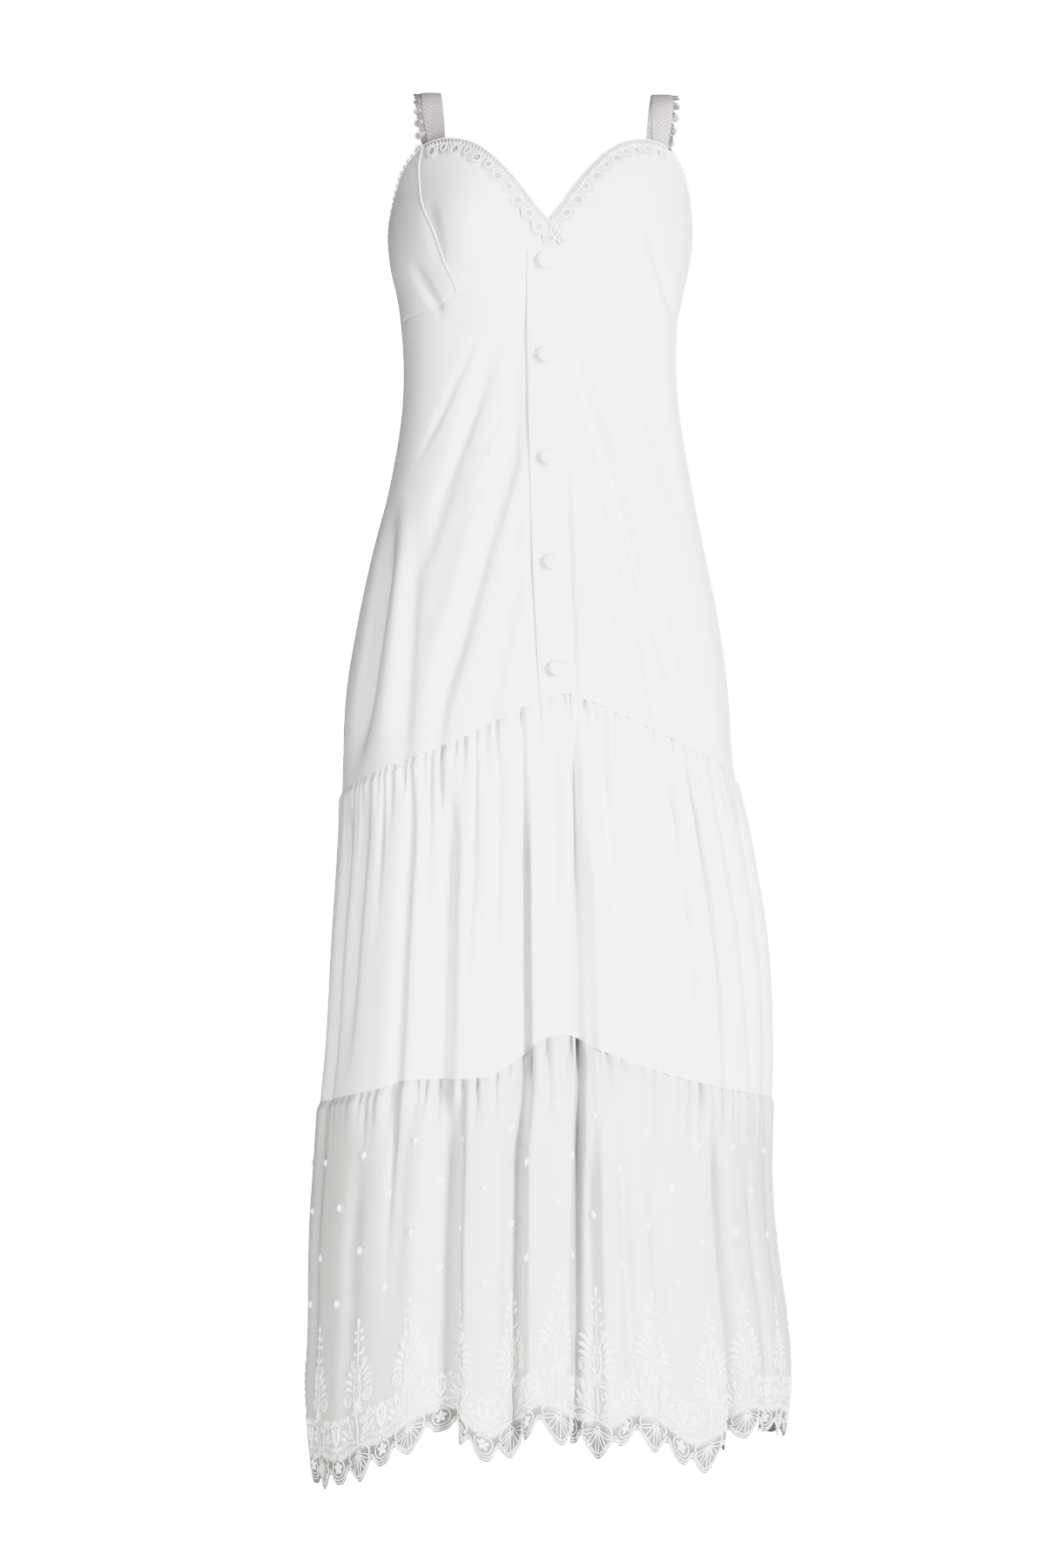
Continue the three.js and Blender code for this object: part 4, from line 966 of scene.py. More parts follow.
class Threadwork:
    """Cords and pads gathered flat, as points along, across and out of the cloth, to be laid on a piece."""

    def __init__(self):
        self.points, self.quads, self.triangles, self.count = [], [], [], 0

    def add(self, points, quads, triangles=()):
        self.points.append(points)
        self.quads.append(np.asarray(quads, int).reshape(-1, 4) + self.count)
        self.triangles.append(np.asarray(triangles, int).reshape(-1, 3) + self.count)
        self.count += len(points)

    def cord(self, path, width, height, closed=False, sides=6):
        """A cord of oval section along a flat path."""
        path = np.asarray(path, float)
        ahead = np.roll(path, -1, axis=0) - np.roll(path, 1, axis=0) if closed else np.gradient(path, axis=0)
        ahead = unit(ahead)
        aside = np.stack([-ahead[:, 1], ahead[:, 0]], axis=1)
        angles = 2 * np.pi * (np.arange(sides) + 0.5) / sides
        flat = path[:, None, :] + aside[:, None, :] * (width / 2 * np.cos(angles))[None, :, None]
        up = np.broadcast_to((height / 2 * (1 + np.sin(angles)))[None, :, None], (len(path), sides, 1))
        quads = ring_faces(len(path), sides, closed)
        if not closed:
            last = (len(path) - 1) * sides
            for c in range(1, sides - 2, 2):
                cap = np.array([0, c, c + 1, c + 2])
                quads = np.concatenate([quads, [cap[::-1]], [cap + last]])
        self.add(np.concatenate([flat, up], axis=2).reshape(-1, 3), quads)

    def pad(self, outline, height):
        """A padded shape, domed over an outline that runs anticlockwise."""
        outline = np.asarray(outline, float)
        count = len(outline)
        middle = outline.mean(axis=0)
        rings = [(1.0, -0.2), (0.92, 0.55), (0.5, 0.95)]
        points = []
        for size, up in rings:
            points.append(np.column_stack([mix(middle, outline, size), np.full(count, height * up)]))
        points.append(np.array([[*middle, height]]))
        each = np.arange(count)
        top = 2 * count
        tip = np.stack([each + top, (each + 1) % count + top, np.full(count, 3 * count)], axis=1)
        self.add(np.concatenate(points), ring_faces(3, count, False), tip)

    def repeated(self, shifts):
        """The same threadwork again at each place along the cloth."""
        made = Threadwork()
        points, quads, triangles = self.joined()
        for shift in shifts:
            made.add(points + np.array([shift, 0, 0]), quads, triangles)
        return made

    def joined(self):
        return np.concatenate(self.points), np.concatenate(self.quads), np.concatenate(self.triangles)

    def piece(self, name, place, mirrored=False):
        """One mesh of all of it, laid where place(along, across, out) says."""
        points, quads, triangles = self.joined()
        faces = [*quads.tolist(), *triangles.tolist()]
        if mirrored:
            faces = [face[::-1] for face in faces]
        return new_mesh(name, place(*points.T), faces)


def ring_faces(rings, sides, closed):
    """Faces between rings of points, each ring joined to the next."""
    row = np.arange(rings if closed else rings - 1)[:, None]
    following = (row + 1) % rings
    col = np.arange(sides)[None, :]
    beside = (col + 1) % sides
    corners = (row * sides + col, row * sides + beside, following * sides + beside, following * sides + col)
    return np.stack([corner.ravel() for corner in corners], axis=1)


def oval(x, y, wide, tall, points=16, tilt=0.0):
    angle = 2 * np.pi * np.arange(points) / points
    across, up = wide * np.cos(angle), tall * np.sin(angle)
    lean = math.radians(tilt)
    return np.column_stack([
        x + across * math.cos(lean) - up * math.sin(lean),
        y + across * math.sin(lean) + up * math.cos(lean),
    ])


def teardrop(x, y, angle, length, wide, points=14):
    """A loop that starts at a point and widens away from it; its angle runs from straight up, clockwise."""
    turn = 2 * np.pi * np.arange(points) / points
    along = length * (1 - np.cos(turn)) / 2
    aside = wide * np.sin(turn) * (0.35 + 0.65 * (1 - np.cos(turn)) / 2)
    lean = math.radians(angle)
    return np.column_stack([
        x + along * math.sin(lean) - aside * math.cos(lean),
        y + along * math.cos(lean) + aside * math.sin(lean),
    ])


def curve_path(*stops, points=12):
    """A smooth flat path through some stops."""
    stops = np.array(stops, float)
    lengths = lengths_along(stops)
    return smooth_path(lengths, stops, np.linspace(0, lengths[-1], points))


def leaf(start, end, wide, bend, points=6):
    """The outline of a curved leaf from its foot to its point, anticlockwise."""
    start, end = np.array(start, float), np.array(end, float)
    share = np.linspace(0, 1, points)
    way = end - start
    square = np.array([-way[1], way[0]])
    middle = start + way * share[:, None] + square * (bend * np.sin(np.pi * share))[:, None]
    half = unit(square[None, :]) * (wide / 2 * np.sin(np.pi * (0.08 + 0.92 * share) ** 0.8))[:, None]
    return np.concatenate([middle - half, (middle + half)[::-1]])


def spiral(x, y, radius, turns, start, hand, points=22):
    """A path that winds from a circle in to its middle."""
    share = np.linspace(0, 1, points)
    angle = math.radians(start) + hand * 2 * np.pi * turns * share
    size = radius * (1 - 0.78 * share)
    return np.column_stack([x + size * np.cos(angle), y + size * np.sin(angle)])


# Lines on the bodice


def body_line(turn, drop):
    """Places along a line on the bodice, by their length from its start, and its whole length."""
    lengths = lengths_along(body_point(turn, drop))

    def place(along):
        return np.interp(along, lengths, turn), np.interp(along, lengths, drop)

    return place, lengths[-1]


def dot(a, b):
    return np.sum(a * b, axis=-1)


def beside_line(line, along, aside):
    """Places along a line and then square to it over the surface, downwards where aside is positive."""
    walk = 4
    turn, drop = line(along)
    heading = body_point(*line(along + 1)) - body_point(*line(along - 1))
    for _ in range(walk):
        _, across, down, out = body_frame(turn, drop)
        way = unit(np.cross(heading, out))
        way = way * np.where(dot(way, down) < 0, -1, 1)[..., None]
        aa, ad, dd = dot(across, across), dot(across, down), dot(down, down)
        wa, wd = dot(way, across), dot(way, down)
        area = aa * dd - ad * ad
        turn = turn + aside / walk * (wa * dd - wd * ad) / area
        drop = drop + aside / walk * (wd * aa - wa * ad) / area
    return turn, drop


# Lace, straps, buttons and sewing


def small_ring(lace, x):
    ring = NECK_LACE["small_ring"]
    y = NECK_LACE["header"] + ring["reach"] * NECK_LACE["ring_seat"]
    lace.cord(oval(x, y, ring["radius"], ring["radius"], 22), ring["cord"], NECK_LACE["rise"], True)


def flower_ring(lace, x):
    """A frilled ring round a thick one, with spokes between them."""
    ring, thick, high = NECK_LACE["big_ring"], NECK_LACE["cord"], NECK_LACE["rise"]
    y = NECK_LACE["header"] + ring["reach"] * NECK_LACE["ring_seat"]
    angle = 2 * np.pi * np.arange(72) / 72
    radius, frill = ring["frill"]
    reach = radius + frill * np.abs(np.sin(6 * angle))
    lace.cord(np.column_stack([x + reach * np.cos(angle), y + reach * np.sin(angle)]), thick, high, True)
    lace.cord(oval(x, y, ring["radius"], ring["radius"], 26), ring["cord"], high, True)
    for spoke in np.radians(np.arange(0, 360, 30)):
        way = np.array([math.cos(spoke), math.sin(spoke)])
        path = [np.array([x, y]) + way * at for at in ring["spokes"]]
        lace.cord(path, 0.8 * thick, 0.8 * high, sides=4)


def neck_lace_threads(length, start, rings):
    """A header of slanted bars, then flower rings and small rings in turn."""
    lace = Threadwork()
    header, thick, high, lean = (NECK_LACE[name] for name in ("header", "cord", "rise", "bar_lean"))
    along = np.arange(1, length, 1.6)
    for across in (1.0, header):
        lace.cord(np.column_stack([along, np.full(len(along), across)]), 1.3 * thick, high)
    for x in np.arange(3, length - 4, NECK_LACE["bar_step"]):
        lace.cord([(x, 1.0), (x + lean, (1 + header) / 2), (x + 2 * lean, header)], thick, high, sides=4)
    for k in range(rings):
        draw_ring = small_ring if k % 2 else flower_ring
        draw_ring(lace, start + (k + 0.5) * NECK_LACE["pitch"] / 2)
    return lace


class NeckLace:
    """The lace along one side of the neckline; the wearer's right one crosses over the left one."""

    def __init__(self, word, side):
        self.word, self.side = word, side
        turn = mix(NECK_LACE["outer_turn"], -NECK_LACE["crossing"], np.linspace(0, 1, 121))
        fall = (TOP_EDGE[1][1] - TOP_EDGE[0][1]) / TOP_EDGE[1][0]
        drop = np.where(turn > 0, top_edge(turn), TOP_EDGE[0][1] + fall * turn)
        self.line, _ = body_line(side * turn, drop)
        _, self.to_point = body_line(side * turn[turn >= 0], drop[turn >= 0])
        ends = NECK_LACE["ends"][word]
        scallops = self.to_point + ends["scallop"]
        self.length = self.to_point + ends["edge"]
        step = NECK_LACE["pitch"] / 2
        self.rings = int(scallops // step)
        self.start = (scallops - self.rings * step) / 2
        self.climb = NECK_LACE["overlap"] if side < 0 else 0

    def place(self, along, across, out):
        turns, drops = beside_line(self.line, along, across)
        far, near = NECK_LACE["climb"]
        lift = self.climb * ramp(self.to_point - far, self.to_point - near, along)
        return moved_out(turns, drops, NECK_LACE["lift"] + lift + out)

    def threads(self):
        work = neck_lace_threads(self.length, self.start, self.rings)
        return work.piece(f"lace_neck_{self.word}", self.place, self.side < 0)

    def ground(self):
        """The net that the rings are worked on, with a scalloped lower edge."""
        along = np.linspace(1, self.length - 1, 260)[:: -self.side]
        across = np.linspace(0, 1, 12)[:, None]
        lobes = np.abs(np.sin(2 * np.pi * (along - self.start) / NECK_LACE["pitch"]))
        share, reach = NECK_LACE["taper"]
        taper = 1 - share * ramp(self.length - reach, self.length, along)
        depth = (NECK_LACE["header"] + NECK_LACE["lobe"] * (0.6 + 0.4 * lobes)) * taper
        across = mix(NECK_LACE["net_edge"], depth, across)
        along, across, out = np.broadcast_arrays(along, across, -NECK_LACE["net_sunk"])
        uv = (along - self.start, across)
        return shell(f"lace_ground_{self.word}", self.place(along, across, out), LACE_NET, uv)


def edging_threads(start, end, pitch, reach):
    """A narrow edging: a straight cord, and at each step a frilled ring round a pad, linked to the cord."""
    lace = Threadwork()
    count = round((end - start) / pitch)
    pitch = (end - start) / count
    base = EDGE_LACE["base"]
    along = np.arange(start, end, 2.0)
    lace.cord(np.column_stack([along, np.full(len(along), base)]), *EDGE_LACE["base_cord"])
    for k in range(count):
        x = start + (k + 0.5) * pitch
        y = 0.55 * reach
        angle = 2 * np.pi * np.arange(40) / 40
        size = 0.42 * reach + 0.06 * reach * np.abs(np.sin(5 * angle))
        wide = size * max(1, 0.7 * pitch / reach)
        scallop = np.column_stack([x + wide * np.cos(angle), y + size * np.sin(angle)])
        lace.cord(scallop, *EDGE_LACE["scallop_cord"], True)
        lace.pad(oval(x, y, 0.9 * wide.min(), 0.9 * size.min(), 16), EDGE_LACE["pad"])
        for hand in SIDES.values():
            link = [(hand * pitch / 2, base), (hand * pitch / 4, 0.3 * reach), (hand * 0.3 * reach, y)]
            lace.cord([(x + aside, up) for aside, up in link], *EDGE_LACE["link_cord"], sides=4)
    return lace


def armhole_lace(word, side):
    """The narrow lace that stands along an armhole, from the strap to the side seam."""
    turn = np.linspace(*EDGE_LACE["armhole_turns"], 60)
    line, length = body_line(side * turn, top_edge(turn))

    def place(along, across, out):
        turns, drops = beside_line(line, along, -across)
        return moved_out(turns, drops, out - EDGE_LACE["armhole_sunk"])

    threads = edging_threads(1, length - 1, EDGE_LACE["armhole_pitch"], EDGE_LACE["armhole_reach"])
    return threads.piece(f"lace_armhole_{word}", place, side < 0)


class Strap:
    """A strap's middle line: sewn inside the cup, over the shoulder, sewn inside the back."""

    def __init__(self, side, front_turn, back_turn, top_x):
        self.side = side
        stops = [self.sewn(front_turn, STRAP_TUCK, 1), self.sewn(front_turn, 1, 1)]
        stops += [((top_x + side * x, y, -drop), (1, 0, 0)) for x, y, drop in STRAP_SHOULDER]
        stops += [self.sewn(back_turn, 1, -1), self.sewn(back_turn, STRAP_TUCK, -1)]
        points, across = (np.array(column, float) for column in zip(*stops))
        knots = np.concatenate([[0], np.cumsum(np.sqrt(np.linalg.norm(np.diff(points, axis=0), axis=1)))])
        at = np.linspace(0, knots[-1], 161)
        self.middle = smooth_path(knots, points, at)
        ways = smooth_path(knots, across, at)
        ahead = unit(np.gradient(self.middle, axis=0))
        self.up = unit(np.cross(ways, ahead))
        self.across = unit(np.cross(ahead, self.up))
        self.lengths = lengths_along(self.middle)
        self.length = self.lengths[-1]

    def sewn(self, turn, below, hand):
        at = np.array(self.side * turn, float)
        drop = top_edge(at) + below
        point, across, _, out = body_frame(at, drop)
        return point - out * STRAP_INSET, hand * unit(across)

    def at(self, along, aside, above):
        def blend(values):
            return np.stack([np.interp(along, self.lengths, values[:, i]) for i in range(3)], axis=-1)

        return blend(self.middle) + blend(self.across) * aside[..., None] + blend(self.up) * above[..., None]


def strap_piece(word, strap):
    along = np.linspace(strap.length, 0, STRAP_MESH["along"])[:, None]
    across = edge_packed(*STRAP_MESH["across"])[None, :]
    near, far = STRAP_BOW["from"], STRAP_BOW["to"]
    free = ramp(near, far, along) * (1 - ramp(strap.length - far, strap.length - near, along))
    bow = STRAP_BOW["rise"] * (1 - (2 * across - 1) ** 2) * free
    along, across, above = np.broadcast_arrays(along, across, STRAP_CLOTH / 2 + bow)
    grid = strap.at(along, mix(-STRAP_WIDTH / 2, STRAP_WIDTH / 2, across), above)
    return shell(f"cloth_strap_{word}", rolled_edges(grid, "lr", *STRAP_ROLL), STRAP_CLOTH)


def strap_lace(word, strap):
    def place(along, across, out):
        aside = strap.side * (STRAP_WIDTH / 2 + across - EDGE_LACE["strap_overlap"])
        return strap.at(along, aside, out - EDGE_LACE["strap_sunk"])

    front_end, back_end = EDGE_LACE["strap_ends"]
    start, end = STRAP_TUCK + front_end, strap.length - STRAP_TUCK - back_end
    threads = edging_threads(start, end, EDGE_LACE["strap_pitch"], EDGE_LACE["strap_reach"])
    return threads.piece(f"lace_strap_{word}", place, strap.side > 0)


def covered_button(number, drop):
    """A covered button on its shank: its cloth is pleated in round the rim, and its face tilts up."""
    turn = np.array(turn_at_x(band_x(drop), drop))
    foot, across, down, out = body_frame(turn, np.array(float(drop)), False)
    across, down = unit(across), unit(down)
    lean_up, lean_left = (math.tan(math.radians(BUTTON_TILT[way])) for way in ("up", "left"))
    axis = unit(out - down * lean_up + across * lean_left)
    up = unit(np.cross(axis, across))
    across = np.cross(up, axis)
    angle = 2 * np.pi * np.arange(BUTTON_SIDES) / BUTTON_SIDES
    pleats = BUTTON_PLEATS["depth"] * np.cos(BUTTON_PLEATS["count"] * angle)
    rings = []
    for radius, height in BUTTON_PROFILE:
        drawn = 1 + pleats * bell((height - BUTTON_PLEATS["height"]) / BUTTON_PLEATS["reach"])
        level = foot + out * (BAND_LIFT + CLOTH + BUTTON_SHANK) + axis * height
        round_ring = np.cos(angle)[:, None] * across + np.sin(angle)[:, None] * up
        rings.append(level + round_ring * (radius * drawn)[:, None])
    bottom = np.arange(BUTTON_SIDES)[::-1]
    top = np.arange(BUTTON_SIDES) + (len(rings) - 1) * BUTTON_SIDES
    faces = [*ring_faces(len(rings), BUTTON_SIDES, False).tolist(), top.tolist(), bottom.tolist()]
    points = np.concatenate(rings)
    flat = (points - foot) @ np.stack([across, up], axis=1)
    return new_mesh(f"covered_button_{number}", points, faces, flat)


def cup_seam_cord(word, side):
    """The raised line of the seam over a cup, where its turnings lie under the cloth."""
    share = np.linspace(0.004, 0.996, 80)
    turn = side * cup_seam_turn(share)
    drop = mix(top_edge(turn), underbust(turn), share)
    line, length = body_line(turn, drop)
    cord = Threadwork()
    along = np.linspace(0.5, length - 0.5, 90)
    sway = CUP_SEAM_SWAY["size"] * np.sin(along / CUP_SEAM_SWAY["length"])
    cord.cord(np.column_stack([along, sway]), *CUP_SEAM_CORD[word])

    def place(x, y, out):
        turns, drops = beside_line(line, x, y)
        return moved_out(turns, drops, out - SEAM_ROLL["depth"])

    return cord.piece(f"seam_cup_{word}", place, side < 0)


def band_stitches():
    """A row of stitches inside each edge of the button band."""
    stitches = Threadwork()
    for aside in (-BAND_WIDTH / 2 + STITCH["inset"], BAND_WIDTH / 2 - STITCH["inset"]):
        for drop in np.arange(BAND_TOP + STITCH["top_gap"], BAND_FOOT - STITCH["foot_gap"], STITCH["pitch"]):
            path = [(drop, aside), (drop + STITCH["length"], aside)]
            stitches.cord(path, STITCH["width"], STITCH["rise"], sides=4)

    def place(drop, aside, out):
        turn = turn_at_x(band_x(drop) + aside, drop)
        return moved_out(turn, drop, BAND_LIFT + CLOTH + out - STITCH["sunk"], False)

    return stitches.piece("stitches_button_band", place)


# Embroidery of the lower tier


def handed(hand, outline):
    """An outline for one side of a motif, mirrored for the other."""
    outline = outline * np.array([hand, 1])
    return outline if hand > 0 else outline[::-1]


class BorderMotif(Threadwork):
    """One repeat along the hem: a fan of loops under a tall spray, and a flower scallop half a repeat on."""

    def __init__(self):
        super().__init__()
        self.pitch = EMBROIDERY["pitch"]
        self.along = np.linspace(-self.pitch / 2, self.pitch / 2, 70)
        self.edge_lines()
        self.fan()
        self.both(self.slope)
        self.both(self.star)
        self.line(curve_path((0, 36), (0.8, 50), (-0.6, 62), (0, 74), points=14))
        self.both(self.volute)
        self.spray_tip()
        self.flower_scallop(self.pitch / 2)
        self.rosettes()

    def line(self, path, closed=False, size=1.0):
        self.cord(path, size * EMBROIDERY["cord"], EMBROIDERY["rise"], closed, 4)

    def satin(self, outline):
        self.pad(outline, 1.2 * EMBROIDERY["rise"])

    def both(self, draw):
        for hand in SIDES.values():
            draw(hand)

    def edge_lines(self):
        for inset in (2.2, 5.0):
            wave = 0.5 * np.abs(np.sin(2 * np.pi * 7 * self.along / self.pitch))
            height = hem_rise(self.along / self.pitch) + inset + wave
            self.line(np.column_stack([self.along, height]), size=0.75)

    def fan(self):
        hub = (0, 29)
        loops = [(180, 21, 3.0), (149, 18, 2.8), (211, 18, 2.8), (116, 15, 2.6), (244, 15, 2.6)]
        for angle, length, wide in loops:
            lean = math.radians(angle)
            foot = (hub[0] + 2.6 * math.sin(lean), hub[1] + 2.6 * math.cos(lean))
            self.line(teardrop(*foot, angle, length, wide), True, 0.6)
        self.line(oval(*hub, 2.2, 2.2, 12), True)
        arc = np.radians(self.along * 3.2)
        self.line(np.column_stack([17 * np.sin(arc), 27 + 10 * np.cos(arc)]))

    def slope(self, hand):
        """The bars, curls and leaves beside the fan."""
        for k in range(11):
            x = 7 + 2.4 * k
            y = 40 - 0.5 * k
            self.line([(hand * x, y - 7), (hand * (x + 1.2), y - 3.5), (hand * (x + 1.8), y)], size=0.8)
        self.line(curve_path((hand * 4, 40), (hand * 18, 44), (hand * 31, 38), points=10))
        self.line(spiral(hand * 13, 51, 5.4, 1.6, 90, -hand))
        self.line(curve_path((hand * 4, 41), (hand * 9, 46), (hand * 13, 56.4), points=8))
        self.satin(handed(hand, leaf((19, 50), (27, 58), 3.6, 0.2)))
        self.satin(handed(hand, leaf((20, 46), (30, 49), 3.4, 0.2)))
        self.line(oval(hand * 9, 61, 2.6, 3.4, 12, -20 * hand), True)
        self.line(spiral(hand * 24, 66, 4.4, 1.4, 200, hand, 16))
        self.line(curve_path((hand * 12, 56), (hand * 17, 64), (hand * 21, 70), points=8))
        self.satin(handed(hand, leaf((28, 62), (33, 70), 3.0, -0.2)))
        self.satin(handed(hand, leaf((16, 62), (19, 72), 3.2, 0.2)))
        self.satin(handed(hand, oval(31, 54, 2.2, 2.8, 10, 20)))

    def star(self, hand):
        for angle in (15, 45, 75, 105):
            lean = math.radians(angle)
            foot = (2.5 * math.sin(lean), 71 + 2.5 * math.cos(lean))
            tip = (11 * math.sin(lean), 71 + 11 * math.cos(lean))
            self.satin(handed(hand, leaf(foot, tip, 2.0, 0.08)))

    def volute(self, hand):
        """A ring, a stem and the leaves on one side of the spray."""
        self.line(oval(hand * 15.5, 85, 5.2, 6.2, 18, -28 * hand), True, 1.15)
        self.line(oval(hand * 15.5, 85, 2.6, 3.4, 12, -28 * hand), True, 0.8)
        self.line(curve_path((hand * 2, 76), (hand * 6, 84), (hand * 11, 88), (hand * 15, 91), points=10))
        stem = ((hand * 1.5, 74), (hand * 5.5, 92), (hand * 4, 106), (hand * 6.5, 117))
        self.line(curve_path(*stem, points=16))
        for foot, tip, wide, bend in (
            ((9, 93), (24, 95), 4.0, 0.2), ((9, 99), (24, 104), 4.2, 0.2),
            ((8, 105), (21, 113), 4.0, 0.2), ((7, 111), (15, 122), 3.6, 0.18),
        ):
            self.satin(handed(hand, leaf(foot, tip, wide, bend)))
        self.line(spiral(hand * 8.5, 121, 3.6, 1.3, -90, hand, 16))
        self.satin(handed(hand, leaf((1.4, 128), (9.5, 133.5), 3.4, -0.2)))
        self.satin(handed(hand, oval(5.6, 143, 2.9, 2.3, 10, 30)))
        self.satin(handed(hand, oval(4.8, 151, 2.6, 2.1, 10, 30)))

    def spray_tip(self):
        """The beads up the middle of the spray, and its tip."""
        for height, tall in ((83, 4), (93, 4.6), (104, 4.4), (114, 3.8)):
            self.line(oval(0, height, 2.4, tall, 12), True, 0.9)
        self.line(curve_path((0, 118), (0.6, 130), (-0.4, 144), (0, 158), points=12), size=0.8)
        self.satin(oval(0, 161, 2.5, 3.6, 12))

    def flower_scallop(self, x):
        """A flower in a ring, with a sprig above it."""
        for petal in np.arange(18, 378, 72):
            lean = math.radians(petal)
            self.satin(oval(x + 3.9 * math.cos(lean), 22 + 3.9 * math.sin(lean), 2.7, 2.0, 10, petal))
        self.satin(oval(x, 22, 1.5, 1.5, 8))
        self.line(oval(x, 22, 9.4, 9.0, 24), True, 0.7)
        self.line(curve_path((x - 13, 30), (x - 6, 33), (x, 37), (x + 6, 33), (x + 13, 30), points=14))
        self.line(curve_path((x, 36), (x - 0.8, 48), (x + 0.6, 62), points=10), size=0.8)
        self.satin(oval(x, 66, 2.4, 3.4, 10))
        leaves = [leaf((0, 44), (8.5, 52), 3.4, 0.2), oval(4.6, 58.5, 2.2, 2.8, 10, -25)]
        leaves.append(leaf((0, 38), (9.5, 41), 3.0, 0.2))
        for hand in SIDES.values():
            for outline in leaves:
                self.satin(handed(hand, outline) + np.array([x, 0]))

    def rosettes(self):
        """Small padded flowers strewn above the spray."""
        rise = EMBROIDERY["rise"]
        for shift, height in EMBROIDERY["rosettes"]:
            x = shift * self.pitch
            self.pad(oval(x, height, 2.2, 2.2, 10), 2.6 * rise)
            for petal in np.arange(0, 360, 72):
                lean = math.radians(petal + 20 * shift + height)
                middle = (x + 2.3 * math.cos(lean), height + 2.3 * math.sin(lean))
                self.pad(oval(*middle, 1.8, 1.5, 8, petal), 1.8 * rise)


def hem_embroidery(cloth):
    """The border motif worked all along half of the hem."""
    stretch = cloth.pitch / EMBROIDERY["pitch"]
    work = BorderMotif().repeated(np.arange(HEM_REPEATS / 2 + 1) * EMBROIDERY["pitch"])

    def place(along, above, out):
        point, way = cloth.points(along * stretch, above)
        return point + way * (out - EMBROIDERY["sunk"])[..., None]

    points, quads, triangles = work.joined()
    along = points[:, 0] * stretch
    inside = (along > EMBROIDERY["seam_gap"]) & (along < cloth.along[-1] - EMBROIDERY["seam_gap"])
    number = np.cumsum(inside) - 1
    kept = Threadwork()
    kept.add(
        points[inside],
        number[quads[inside[quads].all(axis=1)]],
        number[triangles[inside[triangles].all(axis=1)]],
    )
    return kept.piece(f"embroidery_hem_{cloth.half}", place)


# Materials


def feed(tree, socket, value):
    if isinstance(value, bpy.types.NodeSocket):
        tree.links.new(value, socket)
    else:
        socket.default_value = value


def maths(tree, operation, *values):
    node = tree.nodes.new("ShaderNodeMath")
    node.operation = operation
    for socket, value in zip(node.inputs, values):
        feed(tree, socket, value)
    return node.outputs[0]


def spread(tree, value, low, high, to_low, to_high):
    """A value moved smoothly from one span to another."""
    node = tree.nodes.new("ShaderNodeMapRange")
    node.interpolation_type = "SMOOTHSTEP"
    settings = {"Value": value, "From Min": low, "From Max": high, "To Min": to_low, "To Max": to_high}
    for name, setting in settings.items():
        feed(tree, node.inputs[name], setting)
    return node.outputs["Result"]


def noise(tree, place, scales, detail=2.0):
    """Noise over places that are first stretched by a scale in each way."""
    stretch = tree.nodes.new("ShaderNodeVectorMath")
    stretch.operation = "MULTIPLY"
    feed(tree, stretch.inputs[0], place)
    stretch.inputs[1].default_value = scales
    node = tree.nodes.new("ShaderNodeTexNoise")
    node.inputs["Scale"].default_value = 1
    node.inputs["Detail"].default_value = detail
    tree.links.new(stretch.outputs[0], node.inputs["Vector"])
    return node.outputs[0]


def new_group(name, inputs, outputs):
    """A shader node group with float inputs and outputs."""
    tree = bpy.data.node_groups.new(name, "ShaderNodeTree")
    for title, value in inputs.items():
        socket = tree.interface.new_socket(title, in_out="INPUT", socket_type="NodeSocketFloat")
        socket.default_value = value
    for title in outputs:
        tree.interface.new_socket(title, in_out="OUTPUT", socket_type="NodeSocketFloat")
    return tree, tree.nodes.new("NodeGroupInput").outputs, tree.nodes.new("NodeGroupOutput").inputs


def uv_places(tree):
    """How far along and how far up the cloth a place lies, in metres."""
    split = tree.nodes.new("ShaderNodeSeparateXYZ")
    tree.links.new(tree.nodes.new("ShaderNodeTexCoord").outputs["UV"], split.inputs[0])
    return split.outputs["X"], split.outputs["Y"]


def blended(tree, first, first_share, second, second_share):
    parts = (maths(tree, "MULTIPLY", first, first_share), maths(tree, "MULTIPLY", second, second_share))
    return maths(tree, "ADD", *parts)


def cloth_weave_group():
    """Plain weave with slubs: crossing threads, thicker places in them, and slow changes of tone."""
    tree, given, result = new_group(
        "cloth_weave", {"Threads per metre": 1600.0, "Slub": 0.5}, ("Height", "Tone"))
    turns = maths(tree, "MULTIPLY", given["Threads per metre"], math.pi)
    warp, weft = (maths(tree, "SINE", maths(tree, "MULTIPLY", way, turns)) for way in uv_places(tree))
    place = tree.nodes.new("ShaderNodeTexCoord").outputs["UV"]
    across, down, slow = (noise(tree, place, SLUBS[name]) for name in ("across", "down", "slow"))
    slub = blended(tree, across, 0.7, down, 0.3)
    height = blended(tree, maths(tree, "MULTIPLY", warp, weft), 0.2, slub, given["Slub"])
    tree.links.new(height, result["Height"])
    tree.links.new(blended(tree, slub, 0.6, slow, 0.4), result["Tone"])
    return tree


def thread_twist_group():
    """Fine twist and fuzz of a thread, from its place in space."""
    tree, given, result = new_group("thread_twist", {"Fineness": 900.0}, ("Height", "Tone"))
    place = tree.nodes.new("ShaderNodeTexCoord").outputs["Object"]
    scaled = tree.nodes.new("ShaderNodeVectorMath")
    scaled.operation = "SCALE"
    tree.links.new(place, scaled.inputs[0])
    tree.links.new(given["Fineness"], scaled.inputs["Scale"])
    tree.links.new(noise(tree, scaled.outputs[0], (1, 1, 1.6)), result["Height"])
    tree.links.new(noise(tree, place, (60, 60, 60)), result["Tone"])
    return tree


